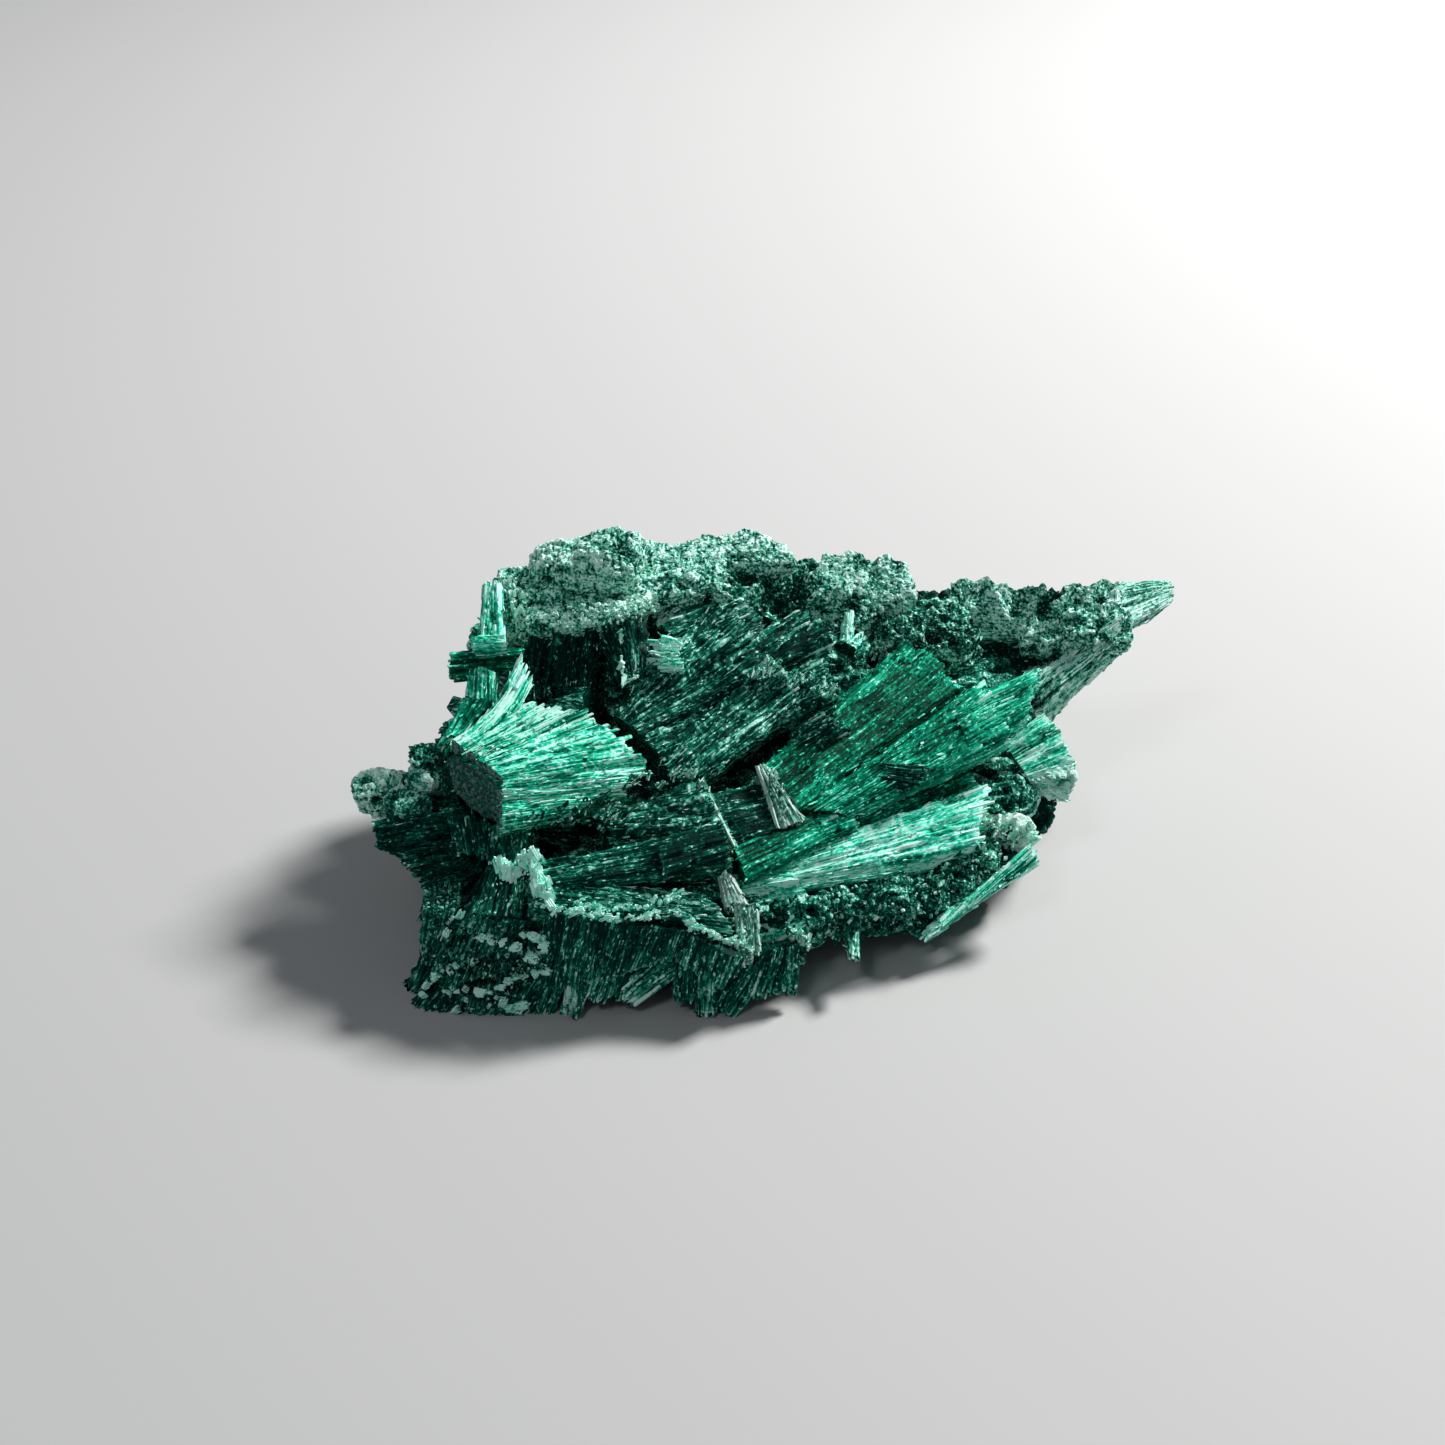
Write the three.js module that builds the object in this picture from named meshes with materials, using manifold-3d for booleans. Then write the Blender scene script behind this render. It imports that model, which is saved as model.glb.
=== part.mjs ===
// A hand specimen of fibrous malachite, about 67 mm long, in millimetres, +Z up.
// The stone grew as one intergrown mass, so it is one solid: a rough heart, bundles of
// parallel and fanning fibres that grew out of it, and slabs of granular crust on top.
// The origin is on the resting plane, under the middle of the specimen. The broken face
// with the fans looks towards -Y, and the long arm with the spike points towards +X.
import * as THREE from "three";
import { mergeVertices } from "three/addons/utils/BufferGeometryUtils.js";
import Module from "manifold-3d";

const BUNDLE_SIDES = 7;
// Under 1, this squares up a bundle's oval section
const SECTION_POWER = 0.6;
const BUNDLE_UNEVENNESS = 0.1;
const END_RAGGEDNESS = 1.2;
const END_SHARE = 0.12;
const LONG_BUNDLE = 14;
// Over 2, this squares up a lump
const LUMP_POWER = 3;
const LUMP_WAVES = 0.14;
const LUMP_ROUGHNESS = 0.07;
const SLAB_BEVEL = 0.5;
const SLAB_UNDERCUT = 0.84;
const SLAB_UNEVENNESS = 0.28;
const CLEARANCE_HEIGHT = 60;
const TRIM_SIDE = 120;
const MERGE_DISTANCE = 1e-4;
const SMALLEST_FEATURE = 0.3;

// A bundle of fibres runs from one point to another along the middle of its depth. Width is
// across the fibres on the broad face, depth is through the bundle, each at its two ends.
// Face is the way the broad face looks.
const brightFan = [
  {
    from: [-24.5, -6.8, 14.2], to: [-20, 0.2, 17.7], width: [1.6, 1.9], depth: [3, 2],
    face: [0, -0.38, 0.92],
  },
  {
    from: [-23.6, -7.6, 13.7], to: [-17.5, -2.7, 15.4], width: [1.9, 3.6], depth: [3.4, 2.6],
    face: [0.14, -0.4, 0.91],
  },
  {
    from: [-22.1, -9.1, 13.1], to: [-12.7, -4, 13.6], width: [2.7, 5.5], depth: [3.6, 2.8],
    face: [0.15, -0.28, 0.95],
  },
  {
    from: [-21.3, -9.8, 12.5], to: [-11.4, -6.7, 12], width: [1.6, 2.2], depth: [3.4, 2.8],
    face: [0.24, -0.53, 0.82],
  },
  {
    from: [-21.2, -11.4, 11.2], to: [-14.8, -9, 11.2], width: [2.2, 1.6], depth: [3.4, 2.8],
    face: [0.25, -0.53, 0.81],
  },
  {
    from: [-23, -9.3, 12.7], to: [-14.5, -4.6, 11.4], width: [5, 6.9], depth: [3.7, 3.8],
    face: [-0.04, 0.32, 0.95],
  },
];
const middleBundles = [
  {
    from: [-12.3, 0, 12.2], to: [-3.4, 8.9, 17.5], width: [1.8, 5.2], depth: [5, 4.6],
    face: [-0.14, -0.38, 0.91],
  },
  {
    from: [-11.6, -1.1, 11.8], to: [2.6, 9.5, 16.6], width: [2, 4.4], depth: [5, 4.6],
    face: [0.02, -0.42, 0.91],
  },
  {
    from: [-10.1, -2.8, 11.2], to: [3.8, 5.2, 14.3], width: [3.5, 4], depth: [5, 4.6],
    face: [0.02, -0.37, 0.93],
  },
  {
    from: [-8.5, -5.1, 10.9], to: [-0.2, 3.1, 14.8], width: [4.1, 4.3], depth: [4, 4],
    face: [0.1, -0.51, 0.85],
  },
  {
    from: [1.3, -0.4, 11.7], to: [4.5, 0.4, 13.9], width: [3.3, 2.4], depth: [3, 3],
    face: [-0.49, -0.28, 0.83],
  },
  {
    from: [-13.2, -10.6, 9.6], to: [-5.6, -7.7, 9.3], width: [4.2, 6.6], depth: [3.6, 3.4],
    face: [0.19, -0.38, 0.9],
  },
  {
    from: [-5, -8, 8.4], to: [0.3, -5.9, 8.9], width: [5.6, 5.6], depth: [4, 4],
    face: [0.08, -0.39, 0.92],
  },
  { from: [-3, 1, 11], to: [3, 5, 13], width: [4, 4], depth: [4, 4], face: [-0.05, -0.7, 0.7] },
  {
    from: [-8.8, 7, 16.2], to: [-2.7, 9.8, 17.9], width: [4.2, 4.9], depth: [4, 4],
    face: [-0.05, -0.45, 0.89],
  },
];
const twinLeaves = [
  {
    from: [-0.4, -4.8, 9.6], to: [12.2, 8.3, 14], width: [5, 6.8], depth: [4.4, 3.6],
    face: [0.08, -0.36, 0.93],
  },
  {
    from: [3.3, -6.2, 8.3], to: [17, 3.1, 13], width: [2.6, 5.5], depth: [4.4, 3.6],
    face: [0.03, -0.45, 0.9],
  },
  {
    from: [13.8, 1.4, 12], to: [20, 4.8, 13.7], width: [4.5, 3.6], depth: [4, 3.4],
    face: [0.04, -0.44, 0.9],
  },
  {
    from: [4.1, -6.1, 7.6], to: [14.4, 0.1, 8.8], width: [1.1, 2.1], depth: [3.6, 3.6],
    face: [0.3, -0.64, 0.71],
  },
  {
    from: [-2.3, -10, 6.8], to: [5.1, -5.6, 8.1], width: [3.6, 2.9], depth: [4, 4],
    face: [0.09, -0.41, 0.91],
  },
];
const silkyFan = [
  {
    from: [-3.2, -11.4, 6.3], to: [15.6, -1.8, 7.4], width: [1, 2.9], depth: [3.4, 3.8],
    face: [0.19, -0.49, 0.85],
  },
  {
    from: [-3.4, -12, 6], to: [15.6, -3.7, 6.2], width: [1, 3.2], depth: [3.4, 3.8],
    face: [0.23, -0.58, 0.78],
  },
  {
    from: [-3.5, -12.4, 5.5], to: [13.4, -5.3, 5.3], width: [0.9, 1.9], depth: [3.4, 3.8],
    face: [0.28, -0.68, 0.68],
  },
  {
    from: [-3.2, -12.8, 3.7], to: [2, -11.1, 4.5], width: [6.8, 5], depth: [4.6, 4.6],
    face: [0.09, -0.66, 0.75],
  },
  { from: [2.5, -11, 4.2], to: [15, -8, 4.5], width: [4, 4], depth: [4.5, 4.5], face: [0, -0.85, 0.5] },
];
const rightBlock = [
  {
    from: [19, 4, 7.7], to: [22.7, 5.6, 9.1], width: [4.3, 5.8], depth: [4.4, 4],
    face: [0, -0.59, 0.81],
  },
  {
    from: [19.8, 3.1, 7.5], to: [23.5, 2.9, 7.3], width: [1, 3.2], depth: [3.6, 3.4],
    face: [0.02, -0.74, 0.68],
  },
  { from: [9.5, 1, 6.5], to: [19.5, 3.5, 6], width: [4, 5], depth: [4.5, 4.5], face: [0, -0.75, 0.65] },
];
const fin = [
  {
    from: [19.6, -6.3, 6.2], to: [11.6, -12.1, 2.9], width: [1.6, 0.6], depth: [1.8, 1],
    face: [0.41, -0.84, 0.37],
  },
];
const frontBundles = [
  {
    from: [-18.1, -15.7, 8.2], to: [-4.5, -10.7, 8.3], width: [2.9, 3.8], depth: [4, 4],
    face: [0.17, -0.47, 0.87],
  },
  {
    from: [-18.4, -16.3, 7.7], to: [-4.9, -15.6, 5.9], width: [3.5, 2.7], depth: [3, 3],
    face: [0.14, -0.32, 0.94],
  },
  {
    from: [-14.6, -16.2, 7.5], to: [-15.6, -17.4, 1.8], width: [5.5, 4.6], depth: [4.9, 3.9],
    face: [0.02, -0.99, 0.12],
  },
  {
    from: [-9.7, -16.1, 6.7], to: [-10.7, -17.2, 3.2], width: [5.6, 5.2], depth: [4.9, 3.9],
    face: [0.09, -0.99, 0.14],
  },
  {
    from: [-4.2, -16.6, 5.6], to: [-5.5, -17, 2.8], width: [5.1, 4.8], depth: [4.9, 3.9],
    face: [-0.18, -0.98, 0.03],
  },
];
const fringe = [
  {
    from: [-17.1, -17.5, 2.4], to: [-19.4, -19.7, -0.4], width: [1.8, 2.1], depth: [2.6, 1],
    face: [0.12, -0.93, 0.35],
  },
  {
    from: [-15, -17.9, 1.5], to: [-15.2, -19.6, 0.4], width: [1.5, 1.4], depth: [2.8, 2.2],
    face: [0.04, -0.65, 0.76],
  },
  {
    from: [-12.8, -17.6, 3], to: [-13.5, -19.5, 1.4], width: [1.9, 1.6], depth: [2.4, 0.8],
    face: [0.08, -0.87, 0.49],
  },
  {
    from: [-8, -17.3, 3.5], to: [-11.3, -19.3, 1.3], width: [2.6, 1.7], depth: [2.4, 1.4],
    face: [0.28, -0.93, 0.23],
  },
  {
    from: [-6.9, -16.9, 3.6], to: [-7.1, -18.9, 1], width: [1.6, 1.5], depth: [3.4, 2],
    face: [0.02, -0.9, 0.43],
  },
  {
    from: [-5.5, -16.7, 3.5], to: [-5.4, -19.1, -0.1], width: [2.1, 1.5], depth: [3.6, 2],
    face: [0.07, -0.91, 0.4],
  },
  {
    from: [-2.2, -16.5, 3], to: [-4.2, -19.1, 0], width: [2.5, 1.6], depth: [3.6, 2],
    face: [0.32, -0.9, 0.3],
  },
  {
    from: [0.5, -14.8, 3.7], to: [0.3, -16.7, 0.9], width: [1.6, 2], depth: [5.4, 3.8],
    face: [0.05, -0.93, 0.36],
  },
  {
    from: [5.5, -12.2, 3.6], to: [5.6, -16.3, 3.2], width: [1.1, 0.9], depth: [1.6, 0.6],
    face: [0.12, -0.23, 0.97],
  },
];
const leftBase = [
  {
    from: [-20.3, -11.6, 6.7], to: [-21.2, -18, 5.2], width: [3.7, 6.4], depth: [4, 2.6],
    face: [0.02, -0.34, 0.94],
  },
  {
    from: [-21.3, -16.3, 4], to: [-22.2, -18.3, 1.6], width: [6.7, 8.2], depth: [3.6, 2.4],
    face: [-0.13, -0.85, 0.51],
  },
  {
    from: [-21.9, -16.4, 1.5], to: [-25.5, -18.7, -1], width: [5.4, 2.6], depth: [4, 2.6],
    face: [-0.11, -0.79, 0.6],
  },
  {
    from: [-20.3, -16.9, 1.4], to: [-21.7, -19.5, -0.9], width: [5.7, 4.4], depth: [3.6, 2],
    face: [-0.05, -0.8, 0.6],
  },
  {
    from: [-24.9, -15.8, 7.5], to: [-26.2, -16.3, -1.5], width: [2.2, 2.3], depth: [4, 3],
    face: [-0.33, -0.94, 0.05],
  },
  { from: [-17, -14, 4], to: [-24, -15, 3], width: [7, 6], depth: [7, 5], face: [-0.15, -0.85, 0.5] },
];
const leftWing = [
  {
    from: [-23.2, -8.1, 9.3], to: [-30.8, -8.9, 8.3], width: [2, 1.5], depth: [4, 2.6],
    face: [-0.05, -0.92, 0.39],
  },
  {
    from: [-21.9, -9.9, 8.2], to: [-29.2, -8.6, 6.5], width: [2.3, 2.5], depth: [4, 2.6],
    face: [-0.33, -0.88, 0.34],
  },
  {
    from: [-22.6, -10.5, 8], to: [-27, -9.5, 4.2], width: [2.6, 5.3], depth: [4, 3],
    face: [-0.58, -0.75, 0.34],
  },
  {
    from: [-20.4, -10.3, 9.8], to: [-20.2, -12.7, 7.9], width: [3.6, 3], depth: [3, 2],
    face: [0.15, -0.73, 0.67],
  },
  { from: [-20, -6.5, 9], to: [-28.5, -6, 9], width: [7, 3.6], depth: [5, 4], face: [-0.3, -0.6, 0.7] },
];
const leftTower = [
  {
    from: [-22.9, 2.9, 18.2], to: [-23.2, 6.8, 21.6], width: [1.9, 1.3], depth: [2, 2],
    face: [0.04, -0.66, 0.75],
  },
  {
    from: [-24.3, 2.1, 18.5], to: [-21.7, 2.1, 18.8], width: [1.3, 1.3], depth: [2, 2],
    face: [-0.11, -0.34, 0.93],
  },
  {
    from: [-20.5, 2.3, 17.5], to: [-26.1, 1.6, 17.3], width: [1.6, 2.1], depth: [2.6, 2.2],
    face: [0.02, -0.6, 0.8],
  },
  {
    from: [-23.4, 1.2, 16.9], to: [-23.5, -0.9, 15.3], width: [1.9, 2.3], depth: [2.2, 2.2],
    face: [-0.01, -0.61, 0.79],
  },
  {
    from: [-23.5, -0.8, 15], to: [-25.2, -4.3, 13.2], width: [2.5, 1.7], depth: [3, 2.6],
    face: [-0.11, -0.45, 0.89],
  },
];
const crustWall = [
  {
    from: [-19, 7.3, 17.7], to: [-20, 1.8, 14.2], width: [3.4, 2], depth: [3.4, 3],
    face: [0.27, -0.58, 0.77],
  },
  {
    from: [-13.3, 7.5, 17.6], to: [-11.6, 3.1, 14.8], width: [3.7, 2.6], depth: [4, 3],
    face: [0, -0.63, 0.78],
  },
  {
    from: [-10.6, 4.1, 17.3], to: [-8.3, 3.7, 17.6], width: [3.5, 2.7], depth: [2, 1.4],
    face: [-0.07, -0.52, 0.85],
  },
  { from: [-20.5, 8, 18.5], to: [-10, 8, 18.5], width: [6, 6], depth: [5, 5], face: [0, -0.95, 0.3] },
];
const rearArm = [
  {
    from: [15.4, 15.6, 13.2], to: [28.1, 15.9, 14.4], width: [3.8, 4.1], depth: [5, 5],
    face: [-0.05, -0.48, 0.87],
  },
  {
    from: [26.5, 15.8, 15.6], to: [32.9, 19.4, 16.5], width: [5.5, 1.8], depth: [3, 1],
    face: [0.3, -0.46, 0.84],
  },
  {
    from: [21.6, 9.7, 10.8], to: [27.9, 13.7, 15.3], width: [2.8, 2], depth: [5, 4],
    face: [-0.16, -0.55, 0.82],
  },
  {
    from: [14.8, 12.6, 10.7], to: [19.3, 16.6, 12.7], width: [6.3, 6.9], depth: [4.6, 4],
    face: [-0.03, -0.39, 0.92],
  },
  {
    from: [18.7, 12.9, 9.8], to: [23.9, 14.2, 11.2], width: [7.5, 3.8], depth: [4.6, 4.6],
    face: [-0.03, -0.62, 0.78],
  },
];
const backBundles = [
  { from: [-18, 4, 14], to: [-23.5, 14, 12.5], width: [7, 6], depth: [6, 5], face: [-0.3, 0.3, 0.9] },
  { from: [-16, 5, 9], to: [-21, 16.5, 6.5], width: [8, 7], depth: [7, 6], face: [-0.2, 0.4, 0.9] },
  { from: [-14, 5, 4], to: [-18.5, 14.5, 1.5], width: [9, 8], depth: [7, 6], face: [-0.2, 0.3, 0.9] },
  { from: [-11, 8, 16], to: [-14, 17, 14.5], width: [7, 5.5], depth: [6, 5], face: [-0.1, 0.2, 0.95] },
  { from: [-9, 8, 10], to: [-11, 18.4, 8.5], width: [8, 7.5], depth: [8, 6.5], face: [0, 0.3, 0.9] },
  { from: [-7, 7, 4], to: [-8.5, 17.5, 1.5], width: [9, 8], depth: [7, 6], face: [0, 0.2, 0.95] },
  { from: [-4, 9, 15.5], to: [-4, 18, 14], width: [7, 7.5], depth: [6, 5], face: [0.1, 0.2, 0.95] },
  { from: [-2, 9, 9.5], to: [1, 18.8, 8], width: [8, 7], depth: [7, 6], face: [0, 0.3, 0.9] },
  { from: [0, 7, 4], to: [3, 16.5, 2], width: [8, 7], depth: [7, 6], face: [0, 0.3, 0.9] },
  { from: [3, 9, 14], to: [7.5, 17.5, 13], width: [7, 5.5], depth: [5, 4.5], face: [0, 0.4, 0.9] },
  { from: [5, 8, 9], to: [12, 18, 7.5], width: [7, 6.5], depth: [7, 6], face: [0, 0.3, 0.9] },
  { from: [6, 6, 4], to: [13, 14.5, 1], width: [8, 7], depth: [7, 6], face: [0, 0.3, 0.9] },
  { from: [11, 8, 11], to: [19.5, 17, 10.5], width: [6, 5.5], depth: [5, 4.5], face: [0, 0.4, 0.9] },
  { from: [13, 7, 7], to: [21, 12.5, 5.5], width: [6, 5], depth: [5, 4], face: [0.2, 0.3, 0.9] },
  { from: [-15, 0, 12], to: [-26, 3.5, 9.5], width: [7, 6], depth: [6, 5], face: [-0.3, -0.2, 0.9] },
  { from: [-14, -1, 7], to: [-27.5, 1, 4.5], width: [8, 7], depth: [6, 5], face: [-0.3, 0.1, 0.9] },
  { from: [-14, -3, 4], to: [-26, -5, 1.5], width: [8, 7], depth: [6, 5], face: [-0.3, -0.1, 0.9] },
  { from: [-15, -6, 9], to: [-28, -3, 7.5], width: [6, 5], depth: [5, 4], face: [-0.2, 0.2, 0.9] },
  { from: [8, 1, 6], to: [18, 6, 3], width: [7, 6], depth: [6, 5], face: [0.2, 0.1, -0.9] },
];

// A lump is an uneven ball about its centre, with a radius along each axis.
const heart = [
  { centre: [-10, -6.5, 3.8], radii: [12, 8, 4.6], detail: 1 },
  { centre: [-8, -13.5, 2.8], radii: [10, 3.4, 3.4], detail: 1 },
  { centre: [-15, 0, 7.5], radii: [9, 8, 5.4], detail: 1 },
  { centre: [0, 1, 6], radii: [10, 9, 5], detail: 1 },
  { centre: [12, 3, 6], radii: [8.5, 6, 4], detail: 1 },
  { centre: [-6, 10, 9], radii: [15, 6.5, 8.5], detail: 1 },
  { centre: [12, 11, 8.5], radii: [9.5, 6, 5.5], detail: 1 },
];
const crustCore = [
  { centre: [12, 12.8, 15], radii: [4.4, 3.6, 2.2], detail: 1 },
  { centre: [26, 13.6, 15.2], radii: [3, 2.4, 2], detail: 1 },
  { centre: [-17, 10, 17.6], radii: [5.4, 4.4, 3.4], detail: 1 },
  { centre: [-9, 12.4, 17.8], radii: [6, 3.8, 3.6], detail: 1 },
  { centre: [3.5, 13.6, 14.6], radii: [5, 3.6, 3.6], detail: 1 },
  { centre: [-14.6, 11, 21], radii: [3, 2.6, 3.4], detail: 1 },
  { centre: [-17.6, 11, 20.4], radii: [2.8, 2.8, 2.9], detail: 1 },
];
const knobs = [
  { centre: [-31, -4.8, 9.1], radii: [2.3, 1.8, 1.5], detail: 1 },
  { centre: [-27.7, -5.6, 11.4], radii: [1.3, 1.1, 0.9], detail: 1 },
  { centre: [17.8, -2.8, 5.8], radii: [1.9, 1.4, 1.2], detail: 1 },
  { centre: [18.9, 4.1, 5.8], radii: [2.4, 2, 2], detail: 1 },
];

// A slab of crust has an outline seen from above, a top at height top[0] + top[1] x + top[2] y
// and a depth under it. The stone under the crust is of lumps.
const crustSlabs = [
  {
    outline: [
      [-20.4, 5.3], [-18.8, 4.9], [-16.2, 4.8], [-14.2, 5.6], [-11.9, 6.9], [-10.8, 8.3],
      [-9.6, 8.2], [-8, 8.6], [-6.6, 10.2], [-4.9, 11], [-4.7, 13], [-5.3, 14.8], [-8.2, 14.6],
      [-11.8, 14.2], [-15, 13.6], [-18.3, 13.1], [-20.4, 11.6], [-20.8, 8.5],
    ],
    top: [17.75, 0, 0.33],
    depth: 2.2,
  },
  {
    outline: [
      [-22.6, 7.8], [-21, 6], [-19.5, 6.5], [-19, 9], [-19.3, 12.4], [-21.5, 12.9], [-23.4, 12.4],
      [-23.8, 10.2],
    ],
    top: [17.2, 0, 0.28],
    depth: 2.2,
  },
  {
    outline: [
      [-8.5, 12.5], [-4.8, 12.3], [-2, 12.1], [0.6, 13], [0.3, 15], [-3, 16], [-6.5, 16.1],
      [-8.8, 15],
    ],
    top: [18, 0, 0.3],
    depth: 2.8,
  },
  {
    outline: [
      [-7, 9.6], [-4.5, 8.7], [-1.5, 9.5], [1, 10.9], [3.2, 11], [5, 11.6], [4.6, 13.4],
      [1.3, 14.2], [-2, 14.3], [-5, 13.4],
    ],
    top: [14.3, -0.08, 0.5],
    depth: 2.6,
  },
  {
    outline: [
      [2.2, 13.6], [6.4, 12.9], [9.9, 13.1], [11.8, 14.6], [10.5, 16.6], [6.3, 17.4], [2.8, 16.8],
      [1.5, 15.2],
    ],
    top: [10.4, 0, 0.6],
    depth: 3,
  },
  {
    outline: [
      [14.3, 14.4], [16.9, 14.4], [19.8, 13.2], [22.2, 12.2], [24.6, 11.9], [26.7, 12],
      [28.4, 14], [28.5, 16.2], [27.4, 17], [25.3, 16.7], [23.2, 16.2], [20.6, 16.2],
      [18.1, 16.4], [16.3, 16.9], [14.4, 16.8],
    ],
    top: [6.2, 0, 0.73],
    depth: 3,
  },
];

// A repeatable number from -1 to 1 for a whole number
function scatter(n) {
  const wave = Math.sin(n * 127.1 + 311.7) * 43758.5453;
  return 2 * (wave - Math.floor(wave)) - 1;
}

// A broken bundle: a cylinder whose section is squared up and tapered between its two ends,
// with the rims and the middles of the ends pushed in and out
function bundleGeometry({ from, to, width, depth, face }, seed) {
  const start = new THREE.Vector3(...from);
  const end = new THREE.Vector3(...to);
  const length = start.distanceTo(end);
  const along = end.clone().sub(start).normalize();
  const out = new THREE.Vector3(...face);
  out.addScaledVector(along, -out.dot(along)).normalize();
  const across = along.clone().cross(out);
  const geometry = new THREE.CylinderGeometry(1, 1, 1, BUNDLE_SIDES, length > LONG_BUNDLE ? 2 : 1);
  geometry.deleteAttribute("normal");
  geometry.deleteAttribute("uv");
  const merged = mergeVertices(geometry, MERGE_DISTANCE);
  const position = merged.getAttribute("position");
  const ragged = Math.min(END_RAGGEDNESS, END_SHARE * length);
  const squared = (t) => Math.sign(t) * Math.abs(t) ** SECTION_POWER;
  for (let i = 0; i < position.count; i++) {
    const share = position.getY(i) + 0.5;
    const uneven = 1 + BUNDLE_UNEVENNESS * scatter(seed * 61 + i);
    const sideways = squared(position.getX(i)) * THREE.MathUtils.lerp(...width, share) * uneven;
    const outwards = squared(position.getZ(i)) * THREE.MathUtils.lerp(...depth, share) * uneven;
    const point = start.clone().lerp(end, share);
    point.addScaledVector(across, sideways / 2).addScaledVector(out, outwards / 2);
    const isEnd = Math.abs(share - 0.5) > 0.49;
    point.addScaledVector(along, isEnd ? ragged * scatter(seed * 37 + 5 * i) : 0);
    position.setXYZ(i, ...point);
  }
  return merged;
}

// An uneven ball: an icosahedron squared up, then pushed in and out by slow waves and chance
function lumpGeometry({ centre, radii, detail }, seed) {
  const geometry = new THREE.IcosahedronGeometry(1, detail);
  geometry.deleteAttribute("normal");
  geometry.deleteAttribute("uv");
  const merged = mergeVertices(geometry, MERGE_DISTANCE);
  const position = merged.getAttribute("position");
  for (let i = 0; i < position.count; i++) {
    const way = new THREE.Vector3().fromBufferAttribute(position, i);
    const spread = way.toArray().reduce((sum, part) => sum + Math.abs(part) ** LUMP_POWER, 0);
    const phases = [3.1 * way.x, 4.3 * way.y, 3.7 * way.z];
    const waves = phases.map((phase, k) => Math.sin(phase + seed * (k + 1)));
    const slow = (LUMP_WAVES * (waves[0] + waves[1] + waves[2])) / 3;
    const quick = LUMP_ROUGHNESS * scatter(seed * 53 + i);
    way.multiplyScalar(spread ** (-1 / LUMP_POWER) * (1 + slow + quick));
    way.multiply(new THREE.Vector3(...radii)).add(new THREE.Vector3(...centre));
    position.setXYZ(i, ...way);
  }
  return merged;
}

// A slab: its outline drawn out to its depth with bevelled rims, then drawn in towards its
// underside, laid under its top and made uneven
function slabGeometry({ outline, top, depth }, seed) {
  const shape = new THREE.Shape(outline.map(([x, y]) => new THREE.Vector2(x, y)));
  const geometry = new THREE.ExtrudeGeometry(shape, {
    depth: depth - 2 * SLAB_BEVEL,
    steps: 1,
    bevelThickness: SLAB_BEVEL,
    bevelSize: SLAB_BEVEL,
    bevelOffset: -SLAB_BEVEL,
    bevelSegments: 1,
  });
  geometry.deleteAttribute("normal");
  geometry.deleteAttribute("uv");
  const merged = mergeVertices(geometry, MERGE_DISTANCE);
  const position = merged.getAttribute("position");
  const middle = outline.reduce((sum, [x, y]) => sum.add(new THREE.Vector2(x, y)), new THREE.Vector2());
  middle.divideScalar(outline.length);
  for (let i = 0; i < position.count; i++) {
    const height = (position.getZ(i) + SLAB_BEVEL) / depth;
    const place = new THREE.Vector2(position.getX(i), position.getY(i));
    place.sub(middle).multiplyScalar(THREE.MathUtils.lerp(SLAB_UNDERCUT, 1, height)).add(middle);
    const surface = top[0] + top[1] * place.x + top[2] * place.y;
    const uneven = SLAB_UNEVENNESS * scatter(seed * 47 + i);
    position.setXYZ(i, place.x, place.y, surface - (1 - height) * depth + uneven);
  }
  return merged;
}

const wasm = await Module();
wasm.setup();

function toSolid(geometry) {
  return new wasm.Manifold(
    new wasm.Mesh({
      numProp: 3,
      vertProperties: geometry.getAttribute("position").array,
      triVerts: new Uint32Array(geometry.index.array),
    }),
  );
}

function toGeometry(solid) {
  const mesh = solid.getMesh();
  const geometry = new THREE.BufferGeometry();
  geometry.setAttribute("position", new THREE.BufferAttribute(mesh.vertProperties, 3));
  geometry.setIndex(new THREE.BufferAttribute(mesh.triVerts, 1));
  geometry.computeVertexNormals();
  return geometry;
}

const bundles = [
  ...brightFan,
  ...middleBundles,
  ...twinLeaves,
  ...silkyFan,
  ...rightBlock,
  ...fin,
  ...frontBundles,
  ...fringe,
  ...leftBase,
  ...leftWing,
  ...leftTower,
  ...crustWall,
  ...rearArm,
  ...backBundles,
];
const lumps = [...heart, ...crustCore, ...knobs];
const geometries = [
  ...bundles.map(bundleGeometry),
  ...lumps.map(lumpGeometry),
  ...crustSlabs.map(slabGeometry),
];
const grown = geometries.map(toSolid);
const mass = grown.reduce((whole, piece) => whole.add(piece));

// The underside is worn flat where the stone rests
const aboveFloor = new THREE.BoxGeometry(TRIM_SIDE, TRIM_SIDE, CLEARANCE_HEIGHT);
aboveFloor.translate(0, 0, CLEARANCE_HEIGHT / 2);
aboveFloor.deleteAttribute("normal");
aboveFloor.deleteAttribute("uv");
const rested = mass.intersect(toSolid(mergeVertices(aboveFloor))).simplify(SMALLEST_FEATURE);

// Pores closed in between the bundles are left filled
const [stone] = rested.decompose().sort((a, b) => b.volume() - a.volume());

const malachite = new THREE.MeshStandardMaterial({ color: 0x1f7a55, roughness: 0.55, metalness: 0 });
const cluster = new THREE.Mesh(toGeometry(stone), malachite);
cluster.name = "malachite_cluster";

const specimen = new THREE.Group();
specimen.add(cluster);
export default specimen;
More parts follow.
